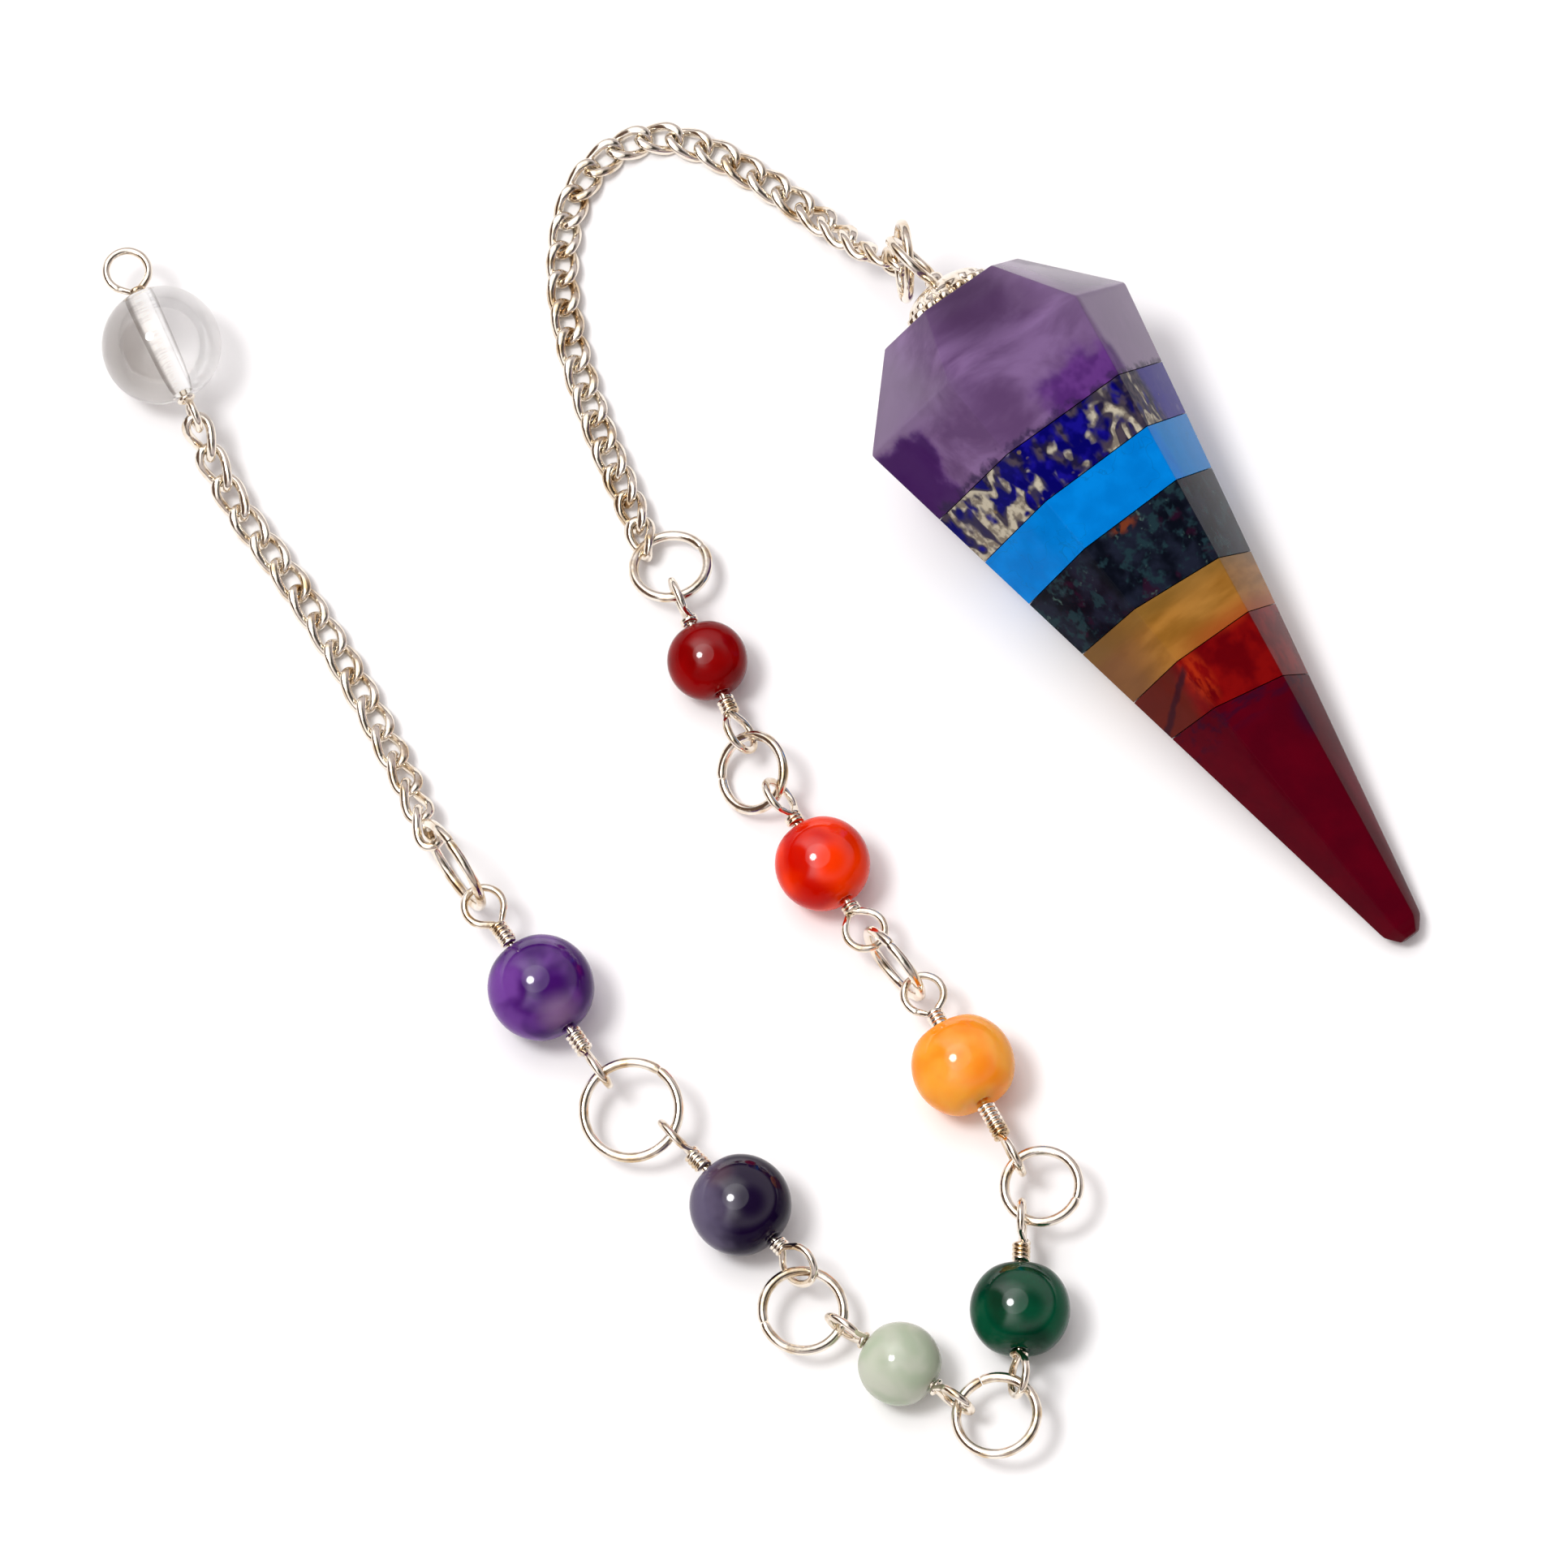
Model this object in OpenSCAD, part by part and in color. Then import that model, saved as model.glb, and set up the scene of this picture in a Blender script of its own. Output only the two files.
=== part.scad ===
// Seven stone dowsing pendulum, laid down on a table with its chain and bead string spread out.
// X runs right, Y runs away from the viewer, Z is up and the table top is at zero.

/* [Stone point] */
// Length of the point from its flat top to its tip
stone_len = 47.8; // [42:0.2:54]
// Width across the corners at the shoulder
stone_w = 19.1; // [16:0.1:21]
// Width across the corners of the flat top
top_w = 10; // [9.4:0.1:12]
// Length of the sloped crown between the flat top and the shoulder
crown_len = 4.95; // [3:0.05:7]
// Width across the corners where the short end bevel starts
tip_w = 2.8; // [2:0.1:4]
// Length of the end bevel
bevel_len = 0.8; // [0.4:0.1:1.6]
// Thickness of the glue line between two layers of stone
glue_line = 0.06; // [0.03:0.01:0.12]
// Heading of the point on the table, in degrees from X
stone_heading = -53.8; // [-70:0.1:-40]

/* [Bell cap] */
// Diameter of the cap over the notches between its scallops
cap_d = 4.8; // [4.2:0.1:5.6]
// Diameter of one round scallop on the cap's rim
scallop_d = 1.1; // [0.8:0.05:1.3]
// Number of scallops round the rim
scallops = 14; // [10:1:18]
// Thickness of the cap's rim
rim_t = 0.55; // [0.4:0.05:0.8]
// Height of the cap's dome over its rim
dome_h = 1.05; // [0.8:0.05:1.4]
// Outer diameter of the cap's loop
cap_loop_d = 4.3; // [4:0.1:4.8]
// Wire diameter of the cap's loop
cap_loop_wire = 0.6; // [0.4:0.05:0.7]
// Play between the cap and the stone, filled with glue
cap_gap = 0.06; // [0.03:0.01:0.1]

/* [Jump rings] */
// Wire diameter of every jump ring
ring_wire = 0.55; // [0.4:0.01:0.6]
// Outer diameter of the ring on the bell cap
cap_ring_d = 5.1; // [4.9:0.1:5.6]
// Outer diameter of a small jump ring
small_ring_d = 5.1; // [4.8:0.1:5.6]
// Outer diameter of a middling jump ring
middle_ring_d = 5.5; // [5.2:0.1:6]
// Outer diameter of a large jump ring
large_ring_d = 6.4; // [6:0.1:6.8]

/* [Bead pins] */
// Wire diameter of the pins through the beads
pin_wire = 0.48; // [0.4:0.01:0.5]
// Outer diameter of the eyes bent at the ends of the pins
eye_d = 2.9; // [2.7:0.05:3]
// Outer diameter of the wire wraps at the neck of an eye
wrap_d = 1.15; // [1:0.05:1.3]
// Radial play between a pin and the bore of its bead
bore_play = 0.14; // [0.1:0.01:0.2]
// Gap between the wire wraps and the bead
neck_gap = 0.12; // [0.1:0.01:0.2]
// How far a ring's wire lies from the middle of an eye, towards the ring
hook_reach = 0.3; // [0.2:0.01:0.34]
// How far a ring's wire lies below the middle of an eye
hook_drop = 0.22; // [0.15:0.01:0.3]

/* [Beads] */
// Diameter of the red jasper bead
bead_1_d = 4.9; // [4.4:0.1:5.3]
// Diameter of the carnelian bead
bead_2_d = 5.8; // [5.2:0.1:6.2]
// Diameter of the orange bead
bead_3_d = 6.3; // [5.8:0.1:6.8]
// Diameter of the green bead
bead_4_d = 6.1; // [5.4:0.1:6.4]
// Diameter of the pale green bead
bead_5_d = 5.1; // [4.6:0.1:5.4]
// Diameter of the indigo bead
bead_6_d = 6.2; // [5.6:0.1:6.8]
// Diameter of the violet bead
bead_7_d = 6.5; // [5.8:0.1:7]

/* [Quartz ball] */
// Diameter of the quartz ball at the chain's end
ball_d = 7.3; // [6.4:0.1:8]
// Wire diameter of the ball's pin
ball_pin_wire = 0.5; // [0.4:0.01:0.6]
// Outer diameter of the ball's end loop
end_loop_d = 3.1; // [2.6:0.1:3.6]
// Outer diameter of the eye that takes the chain
ball_eye_d = 2.4; // [2.2:0.1:3]

/* [Chains] */
// Wire diameter of the curb links
link_wire = 0.38; // [0.36:0.01:0.44]
// Spacing of the links of the upper chain
upper_pitch = 1.88; // [1.7:0.02:2.1]
// Spacing of the links of the lower chain
lower_pitch = 2.1; // [1.9:0.02:2.4]
// Width over a link
link_w = 1.86; // [1.8:0.02:2.1]
// Play between neighbouring links
link_play = 0.26; // [0.2:0.01:0.3]

/* [Hidden] */

$fn = 32;
big = 60; // larger than any piece, for cutting

// Moves the spread out pendulum so that the middle of its box is over the origin
shift_x = 1.45;
shift_y = 0.86;

// Small vector tools
function unit(v) = v / norm(v);
function level(v) = unit([v.x, v.y, 0]);
function heading(a) = [cos(a), sin(a), 0];
function left_of(v) = [-v.y, v.x, 0];
function square_to(v, axis) = unit(v - (v * axis) * axis);

// The stone lies on one long face, so its axis dips towards the tip by the taper of that face
flat_share = cos(30); // a hexagon's inscribed radius as a share of its corner radius
taper_len = stone_len - bevel_len - crown_len;
dip = atan((stone_w - tip_w) / 2 * flat_share / taper_len);
stone_lift = crown_len * sin(dip) + stone_w / 2 * flat_share * cos(dip);
stone_at = [10.15, 27.8, 0]; // where the middle of the flat top stands over the table
stone_axis = [cos(dip) * cos(stone_heading), cos(dip) * sin(stone_heading), -sin(dip)];
stone_side = left_of(heading(stone_heading));
top_middle = stone_at + [0, 0, stone_lift];
function along_stone(s) = top_middle + s * stone_axis;

// Where each layer ends, as a share of the stone's length, and how far that joint slants
JOINT = 0;
SLANT = 1;
LAYERS = [
  [0.217, -1],
  [0.2915, -2],
  [0.368, -2.3],
  [0.472, 3],
  [0.5525, -0.5],
  [0.635, 9],
  [1.1, 0]
];

// The cap stands on the flat top. Its loop leans a little and is turned about its own run, and its
// ring hangs down from a place a little beyond the loop's middle
loop_lean = 0.2; // sideways share of the loop's run from the cap
loop_turn = 20;
cap_h = rim_t + dome_h;
cap_loop_mid = (cap_loop_d - cap_loop_wire) / 2;
cap_loop_run = unit(-stone_axis - loop_lean * stone_side);
cap_loop_at = along_stone(-cap_gap - cap_h) + cap_loop_mid * cap_loop_run;
cap_loop_side = square_to(stone_side, cap_loop_run);
cap_loop_normal = cross(cap_loop_run, cap_loop_side) * sin(loop_turn) - cap_loop_side * cos(loop_turn);
cap_ring_mid = (cap_ring_d - ring_wire) / 2;
cap_ring_beyond = 0.35;
cap_ring_normal = unit([0.99, 0.1, -0.1]);
cap_ring_hang = square_to([-0.12, 0.25, -0.96], cap_ring_normal);
cap_ring_up = square_to([0, 0, 1], cap_ring_normal);
cap_ring_far = cross(cap_ring_up, cap_ring_normal);
cap_hook = 15; // how far beyond its ring's lowest place the upper chain starts, in degrees
cap_ring_at = cap_loop_at + cap_ring_beyond * cap_loop_run + cap_ring_mid * cap_ring_hang;

// Jump rings on the table: place, size, heading from the hook before to the hook after, roll about
// that line (90 stands upright), how far each hook is turned round the ring from that line, and how
// far the eye on each hook leans about its pin
AT_X = 0;
AT_Y = 1;
OUTER = 2;
HEAD = 3;
ROLL = 4;
TURN_IN = 5;
TURN_OUT = 6;
LEAN_IN = 7;
LEAN_OUT = 8;
RINGS = [
  [-6.9, 13.5, small_ring_d, -61, 0, 16, -16, 0, 0],
  [-1.9, -0.05, small_ring_d, -68, 38, -6, 24, 0, 0],
  [6.7, -12.6, middle_ring_d, -50, 90, 0, 0, 0, 0],
  [15.6, -27, small_ring_d, -82, 5, 34, -36, 0, 0],
  [12.85, -41.6, middle_ring_d, 173, 0, 68, -16, -30, 0],
  [1.15, -34.85, middle_ring_d, 124, 0, 32, -28, 0, 30],
  [-9.25, -22.05, large_ring_d, 129, -14, 17, 0, 0, 0],
  [-20, -6.4, large_ring_d, 124, 90, 0, 0, 0, 0]
];

// Beads: diameter, length along the pin as a share of it, place along the pin, and colour
ACROSS = 0;
SQUASH = 1;
SHARE = 2;
TINT = 3;
BEADS = [
  [bead_1_d, 0.97, 0.46, "darkred"],
  [bead_2_d, 0.97, 0.5, "orangered"],
  [bead_3_d, 0.84, 0.44, "orange"],
  [bead_4_d, 0.87, 0.57, "darkgreen"],
  [bead_5_d, 0.95, 0.5, "darkseagreen"],
  [bead_6_d, 0.97, 0.47, "indigo"],
  [bead_7_d, 0.97, 0.5, "darkorchid"]
];

// A pin runs level through its bead, which rests on the table
function pin_z(i) = BEADS[i][ACROSS] / 2;
first_hook_z = 1; // where the first ring takes the upper chain
last_hook_z = 2.1; // where the last ring takes the lower chain
stand_gap = 0.02; // an upright ring just clears the table

// Each jump ring's plane carries both of its hooks, at the heights of the pins that they hold
function mid(i) = (RINGS[i][OUTER] - ring_wire) / 2;
function upright(i) = RINGS[i][ROLL] > 80;
function drop(i) = hook_drop * cos(RINGS[i][ROLL]);
function z_in(i) = i == 0 ? first_hook_z : pin_z(i - 1) - drop(i);
function z_out(i) = i == len(RINGS) - 1 ? last_hook_z : pin_z(i) - drop(i);
function stand_z(i) = RINGS[i][OUTER] / 2 + stand_gap;
function angle_in(i) = upright(i) ? 180 - asin((z_in(i) - stand_z(i)) / mid(i)) : 180 + RINGS[i][TURN_IN];
function angle_out(i) = upright(i) ? asin((z_out(i) - stand_z(i)) / mid(i)) : RINGS[i][TURN_OUT];
function rise(i) = upright(i) ? 0 : ((z_out(i) - z_in(i)) / mid(i)
  - (sin(angle_out(i)) - sin(angle_in(i))) * sin(RINGS[i][ROLL])) / (cos(angle_out(i)) - cos(angle_in(i)));
function ring_z(i) = upright(i) ? stand_z(i)
  : z_in(i) - mid(i) * (cos(angle_in(i)) * rise(i) + sin(angle_in(i)) * sin(RINGS[i][ROLL]));
function ring_at(i) = [RINGS[i][AT_X], RINGS[i][AT_Y], ring_z(i)];
function ring_ahead(i) = unit(heading(RINGS[i][HEAD]) + [0, 0, rise(i)]);
function ring_across(i) = square_to(
  left_of(heading(RINGS[i][HEAD])) * cos(RINGS[i][ROLL]) + [0, 0, sin(RINGS[i][ROLL])], ring_ahead(i));
function ring_normal(i) = cross(ring_ahead(i), ring_across(i));
function spoke(i, a) = cos(a) * ring_ahead(i) + sin(a) * ring_across(i);
function hook_in(i) = ring_at(i) + mid(i) * spoke(i, angle_in(i));
function hook_out(i) = ring_at(i) + mid(i) * spoke(i, angle_out(i));

// The eye of a pin lies round its ring's wire, and its plane stands across that wire
function eye_spot(hook, ray, z) = let (p = hook + hook_reach * level(ray)) [p.x, p.y, z];
function pin_a(i) = eye_spot(hook_out(i), spoke(i, angle_out(i)), pin_z(i));
function pin_b(i) = eye_spot(hook_in(i + 1), spoke(i + 1, angle_in(i + 1)), pin_z(i));
function pin_run(i) = unit(pin_b(i) - pin_a(i));
function wire_run(i, a) = unit(cos(a) * ring_across(i) - sin(a) * ring_ahead(i));
function eye_normal(wire, run, lean) = let (n = square_to(wire, run))
  n * cos(lean) + cross(run, n) * sin(lean);
function bead_at(i) = pin_a(i) + BEADS[i][SHARE] * (pin_b(i) - pin_a(i));
function bead_len(i) = BEADS[i][ACROSS] * BEADS[i][SQUASH];
bead_bore = pin_wire + 2 * bore_play;

// The quartz ball rests on the table, with its pin level through it
ball_at = [-37.9, 27.1, ball_d / 2];
ball_run = heading(-66.5);
ball_neck = 0.2; // wraps between the ball and each of its eyes
end_loop_mid = (end_loop_d - ball_pin_wire) / 2;
ball_eye_mid = (ball_eye_d - ball_pin_wire) / 2;
ball_bore = ball_pin_wire + 2 * bore_play;
end_loop_at = ball_at - (ball_d / 2 + neck_gap + ball_neck + end_loop_mid) * ball_run;
ball_eye_at = ball_at + (ball_d / 2 + neck_gap + ball_neck + ball_eye_mid) * ball_run;

// Routes of the two chains, chosen by hand, between hooks that follow their rings
UPPER_ROUTE = [
  [6.2, 32.5, 4.1], [4.6, 33.7, 2.9], [3, 35.3, 1.85], [1.2, 37, 0.98], [-1.4, 39, 0.63],
  [-4.4, 40.8, 0.58], [-7.2, 41.7, 0.58], [-9.9, 41.1, 0.58], [-12, 39.2, 0.58],
  [-13.2, 36.3, 0.58], [-13.5, 32.4, 0.58], [-13, 28.7, 0.58], [-12.1, 25.2, 0.62],
  [-11, 21.9, 0.74], [-9.8, 18.9, 0.82], [-9, 16.8, 0.84]
];
LOWER_ROUTE = [
  [-35, 20.6, 2.1], [-34.05, 18.9, 1.4], [-32.9, 17, 0.95], [-31.1, 14.5, 0.75], [-29.4, 12, 0.64],
  [-27.25, 8.5, 0.58], [-25.4, 5.1, 0.66], [-24.2, 2.5, 0.82], [-23.1, 0.15, 1.15]
];
upper_start = cap_ring_at + cap_ring_mid * (sin(cap_hook) * cap_ring_far - cos(cap_hook) * cap_ring_up);
upper_wire = cos(cap_hook) * cap_ring_far + sin(cap_hook) * cap_ring_up;
ball_hook = 45; // how far below its eye's far end the ball takes the lower chain, in degrees
lower_start = ball_eye_at + ball_eye_mid * (cos(ball_hook) * ball_run - [0, 0, sin(ball_hook)]);
lower_wire = sin(ball_hook) * ball_run + [0, 0, cos(ball_hook)];

// A smooth curve through points: each stretch leaves and meets its points along its neighbours' chord
function bend(a, b, c, d, t) = 0.5 * (2 * b + (c - a) * t + (2 * a - 5 * b + 4 * c - d) * t * t
  + (3 * b - a - 3 * c + d) * t * t * t);
function smooth(p, n = 10) = [
  for (i = [0:len(p) - 2]) for (k = [0:n - 1])
    bend(p[max(i - 1, 0)], p[i], p[i + 1], p[min(i + 2, len(p) - 1)], k / n),
  p[len(p) - 1]
];
function lengths(p) = [
  for (i = 0, s = 0; i < len(p); i = i + 1, s = i < len(p) ? s + norm(p[i] - p[i - 1]) : s) s
];
function column(p, s, k) = [for (i = [0:len(p) - 1]) [s[i], p[i][k]]];
function on_curve(t, s) = [lookup(s, t[0]), lookup(s, t[1]), lookup(s, t[2])];

// A chain: its curve, its links' size, and the rolls that let its end links clasp their rings
function half_len(pitch) = (pitch + link_wire + link_play) / 2;
function clasp(pitch) = half_len(pitch) - link_wire / 2 - ring_wire / 2 - link_play;
function fold(a) = a - 180 * round(a / 180);
look = 0.2; // how far before and after a point its direction is taken
function frame_at(t, s) = let (
    ahead = unit(on_curve(t, s + look) - on_curve(t, s - look)),
    side = unit(cross([0, 0, 1], ahead))
  ) [ahead, side, cross(ahead, side)];
function angle_of(wire, f) = atan2(wire * f[2], wire * f[1]);
function make_chain(route, pitch, wire_a, wire_b) = let (
    p = smooth(route),
    s = lengths(p),
    t = [column(p, s, 0), column(p, s, 1), column(p, s, 2)],
    first = clasp(pitch),
    last = s[len(s) - 1] - first,
    count = round((last - first) / pitch) + 1,
    step = (last - first) / (count - 1),
    roll_a = fold(angle_of(wire_a, frame_at(t, first)) - 45),
    roll_b = fold(angle_of(wire_b, frame_at(t, last)) + 45),
    ease = 5 // links over which an end's roll dies away
  ) [for (i = [0:count - 1]) let (
      f = frame_at(t, first + i * step),
      roll = roll_a * max(0, 1 - i / ease) + roll_b * max(0, 1 - (count - 1 - i) / ease)
    ) [
      on_curve(t, first + i * step),
      f[0],
      f[1] * cos(roll) + f[2] * sin(roll),
      f[2] * cos(roll) - f[1] * sin(roll)
    ]];

// A curb link is an oval that leaves its plane by a wave of two periods, swept by a six sided wire
link_steps = 14;
wire_sides = 6;
link_b = (link_w - link_wire) / 2;
link_c = link_b / 2;
function oval(a, t) = [a * cos(t), link_b * sin(t), link_c * sin(2 * t)];
function oval_run(a, t) = unit([-a * sin(t), link_b * cos(t), 2 * link_c * cos(2 * t)]);
function link_points(f, a) = [
  for (j = [0:link_steps - 1]) let (
      t = 360 * (j + 0.5) / link_steps,
      run = oval_run(a, t),
      out = unit(cross(run, [0, 0, 1])),
      up = cross(out, run)
    ) for (k = [0:wire_sides - 1]) let (
      q = oval(a, t) + link_wire / 2 * (cos(360 * k / wire_sides) * out + sin(360 * k / wire_sides) * up)
    ) f[0] + q.x * f[1] + q.y * f[2] + q.z * f[3]
];
function link_faces(first) = [
  for (j = [0:link_steps - 1]) for (k = [0:wire_sides - 1]) let (
      j2 = (j + 1) % link_steps,
      k2 = (k + 1) % wire_sides,
      corners = [j * wire_sides + k, j * wire_sides + k2, j2 * wire_sides + k2, j2 * wire_sides + k]
    ) for (tri = [[0, 1, 2], [0, 2, 3]]) [for (n = tri) first + corners[n]]
];
module chain(frames, a) {
  per_link = link_steps * wire_sides;
  polyhedron(
    points = [for (f = frames) each link_points(f, a)],
    faces = [for (i = [0:len(frames) - 1]) each link_faces(i * per_link)]
  );
}

// Stands its children in a frame given by its origin and three square axes
module in_frame(o, x, y, z) {
  multmatrix([[x.x, y.x, z.x, o.x], [x.y, y.y, z.y, o.y], [x.z, y.z, z.z, o.z], [0, 0, 0, 1]]) children();
}
// The same with only its Z axis given
module facing(o, z) {
  x = unit(cross(abs(z.z) < 0.9 ? [0, 0, 1] : [1, 0, 0], z));
  in_frame(o, x, cross(z, x), z) children();
}
module in_stone() {
  in_frame(top_middle, stone_axis, stone_side, cross(stone_axis, stone_side)) children();
}
module hoop(middle_radius, wire) {
  rotate_extrude() translate([middle_radius, 0]) circle(d = wire, $fn = 16);
}

// The whole point, a stack of hexagons along X
module stone_body() {
  sections = [[0, top_w / 2], [crown_len, stone_w / 2], [stone_len - bevel_len, tip_w / 2],
    [stone_len, tip_w / 4]];
  last = 6 * (len(sections) - 1);
  polyhedron(
    points = [for (s = sections) for (k = [0:5]) [s[0], s[1] * cos(60 * k), s[1] * sin(60 * k)]],
    faces = concat(
      [[for (k = [0:5]) k]],
      [for (i = [0:len(sections) - 2]) for (k = [0:5])
        [6 * i + k, 6 * i + 6 + k, 6 * i + 6 + (k + 1) % 6, 6 * i + (k + 1) % 6]],
      [[for (k = [0:5]) last + 5 - k]]
    )
  );
}
module beyond(layer, shift) {
  translate([LAYERS[layer][JOINT] * stone_len + shift, 0, 0]) rotate([0, 0, -LAYERS[layer][SLANT]])
    translate([0, -big / 2, -big / 2]) cube(big);
}
module stone_layer(i) {
  in_stone() difference() {
    if (i == 0) stone_body();
    else intersection() {
      stone_body();
      beyond(i - 1, glue_line / 2);
    }
    beyond(i, -glue_line / 2);
  }
}
module amethyst_crown() { color("mediumpurple") stone_layer(0); }
module lapis_layer() { color("midnightblue") stone_layer(1); }
module turquoise_layer() { color("deepskyblue") stone_layer(2); }
module moss_layer() { color("darkslategray") stone_layer(3); }
module yellow_layer() { color("goldenrod") stone_layer(4); }
module carnelian_layer() { color("orangered") stone_layer(5); }
module jasper_tip() { color("darkred") stone_layer(6); }

// Bell cap: a domed disc with a scalloped rim, glued to the flat top, and a loop on a short boss
module bell_cap() {
  r = cap_d / 2;
  boss_r = cap_loop_wire;
  dome = [for (a = [0:15:75]) [r * cos(a), rim_t + dome_h * sin(a)]];
  color("gainsboro") {
    facing(along_stone(-cap_gap), -stone_axis) {
      rotate_extrude() polygon(concat([[0, 0], [r, 0]], dome, [[0, cap_h]]));
      for (k = [0:scallops - 1]) rotate([0, 0, 360 * k / scallops]) translate([r, 0, 0])
        cylinder(d = scallop_d, h = rim_t, $fn = 16);
      cylinder(r = boss_r, h = cap_h + cap_loop_wire / 2);
    }
    facing(cap_loop_at, cap_loop_normal) hoop(cap_loop_mid, cap_loop_wire);
  }
}
module cap_ring() {
  color("gainsboro") facing(cap_ring_at, cap_ring_normal) hoop(cap_ring_mid, ring_wire);
}
module jump_ring(i) {
  color("gainsboro") facing(ring_at(i), ring_normal(i)) hoop(mid(i), ring_wire);
}

module upper_chain() {
  route = concat([upper_start], UPPER_ROUTE, [hook_in(0)]);
  color("silver")
    chain(make_chain(route, upper_pitch, upper_wire, wire_run(0, angle_in(0))),
      half_len(upper_pitch));
}
module lower_chain() {
  last = len(RINGS) - 1;
  route = concat([lower_start], LOWER_ROUTE, [hook_out(last)]);
  color("silver")
    chain(make_chain(route, lower_pitch, lower_wire, wire_run(last, angle_out(last))),
      half_len(lower_pitch));
}

// A round bead with flat poles, drilled along its pin, which runs along run
module bead(at, run, across, length, bore) {
  facing(at, run) difference() {
    intersection() {
      sphere(d = across);
      cylinder(d = across + 1, h = length, center = true);
    }
    cylinder(d = bore, h = across + 1, center = true);
  }
}
module string_bead(i) {
  color(BEADS[i][TINT]) bead(bead_at(i), pin_run(i), BEADS[i][ACROSS], bead_len(i), bead_bore);
}
module quartz_ball() {
  color("lightcyan", 0.6) bead(ball_at, ball_run, ball_d, ball_d, ball_bore);
}

// Wire wraps: rounded turns of wire side by side round the neck of an eye, from Z = 0 up
wrap_steps = 4; // straight stretches over the round of one turn
module wraps(length, wire) {
  turns = max(1, ceil(length / wire));
  turn = length / turns;
  outline = [for (k = [0:turns - 1]) for (j = [0:wrap_steps])
    [wrap_d / 2 - turn / 3 * (1 - sin(180 * j / wrap_steps)), (k + j / wrap_steps) * turn]];
  rounds = [for (i = [0:len(outline) - 1])
    if (i == 0 || outline[i].y > outline[i - 1].y + 0.001) outline[i]];
  rotate_extrude() polygon(concat([[0, 0]], rounds, [[0, length]]));
}
// A pin with an eye at each end, and wraps between each eye and the bead
module pin(a, b, normal_a, normal_b, mid_a, mid_b, bead_centre, length, wire) {
  run = unit(b - a);
  bury = wire / 4; // the wraps start inside the eye's wire
  wraps_a = norm(bead_centre - a) - length / 2 - neck_gap - mid_a + bury;
  wraps_b = norm(b - bead_centre) - length / 2 - neck_gap - mid_b + bury;
  facing(a, normal_a) hoop(mid_a, wire);
  facing(b, normal_b) hoop(mid_b, wire);
  facing(a + (mid_a - bury) * run, run) wraps(wraps_a, wire);
  facing(b - (mid_b - bury) * run, -run) wraps(wraps_b, wire);
  facing(a + (mid_a + wraps_a / 2) * run, run)
    cylinder(d = wire, h = norm(b - a) - mid_a - mid_b - (wraps_a + wraps_b) / 2);
}
module eye_pin(i) {
  eye_mid = (eye_d - pin_wire) / 2;
  run = pin_run(i);
  color("silver") pin(pin_a(i), pin_b(i),
    eye_normal(wire_run(i, angle_out(i)), run, RINGS[i][LEAN_OUT]),
    eye_normal(wire_run(i + 1, angle_in(i + 1)), run, RINGS[i + 1][LEAN_IN]),
    eye_mid, eye_mid, bead_at(i), bead_len(i), pin_wire);
}
module ball_pin() {
  color("silver") pin(end_loop_at, ball_eye_at, [0, 0, 1], left_of(ball_run),
    end_loop_mid, ball_eye_mid, ball_at, ball_d, ball_pin_wire);
}

module laid() { translate([shift_x, shift_y, 0]) children(); }

laid() amethyst_crown();
laid() lapis_layer();
laid() turquoise_layer();
laid() moss_layer();
laid() yellow_layer();
laid() carnelian_layer();
laid() jasper_tip();
laid() bell_cap();
laid() cap_ring();
laid() upper_chain();
for (i = [1:8]) laid() jump_ring(i - 1);
for (i = [1:7]) laid() string_bead(i - 1);
for (i = [1:7]) laid() eye_pin(i - 1);
laid() lower_chain();
laid() quartz_ball();
laid() ball_pin();
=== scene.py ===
"""Seven stone pendulum with its chain and bead string, spread out on a white table.

Places are worked out in millimetres, in the frame's own axes, and turned into metres when a mesh is made.
"""

from math import asin, atan, atan2, cos, degrees, radians, sin, tan

import bpy
import numpy as np
from mathutils import Matrix, Vector


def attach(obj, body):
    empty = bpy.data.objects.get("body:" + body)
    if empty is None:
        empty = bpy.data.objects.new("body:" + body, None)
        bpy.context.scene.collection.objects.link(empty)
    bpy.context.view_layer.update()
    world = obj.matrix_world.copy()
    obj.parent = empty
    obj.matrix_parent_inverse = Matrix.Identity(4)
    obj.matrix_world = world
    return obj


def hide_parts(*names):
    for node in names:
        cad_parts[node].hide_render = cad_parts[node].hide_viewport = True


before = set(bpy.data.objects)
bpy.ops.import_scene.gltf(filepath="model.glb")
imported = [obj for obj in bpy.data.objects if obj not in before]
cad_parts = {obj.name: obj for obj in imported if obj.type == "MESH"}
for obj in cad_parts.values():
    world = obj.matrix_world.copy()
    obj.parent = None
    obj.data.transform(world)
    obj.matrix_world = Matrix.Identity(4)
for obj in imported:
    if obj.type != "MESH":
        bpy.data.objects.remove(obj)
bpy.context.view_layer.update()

MM = 0.001
SHIFT = np.array([1.45, 0.86, 0.0])  # brings the middle of the layout to the origin


# Small vector tools. Angles are in degrees.

def unit(v):
    """v divided by its length, for one vector or for rows of them."""
    v = np.asarray(v, float)
    return v / np.linalg.norm(v, axis=-1, keepdims=True)


def heading(angle):
    """The level direction that lies at an angle from X."""
    return np.array([cos(radians(angle)), sin(radians(angle)), 0.0])


def left_of(v):
    """A level direction turned a quarter to the left."""
    return np.array([-v[1], v[0], 0.0])


def square_to(v, axis):
    """The part of v square to an axis, as a direction."""
    return unit(v - (v @ axis) * axis)


def any_square(axis):
    """One direction square to an axis."""
    helper = np.array([0, 0, 1.0]) if abs(axis[2]) < 0.9 else np.array([1.0, 0, 0])
    return unit(np.cross(helper, axis))


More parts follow.
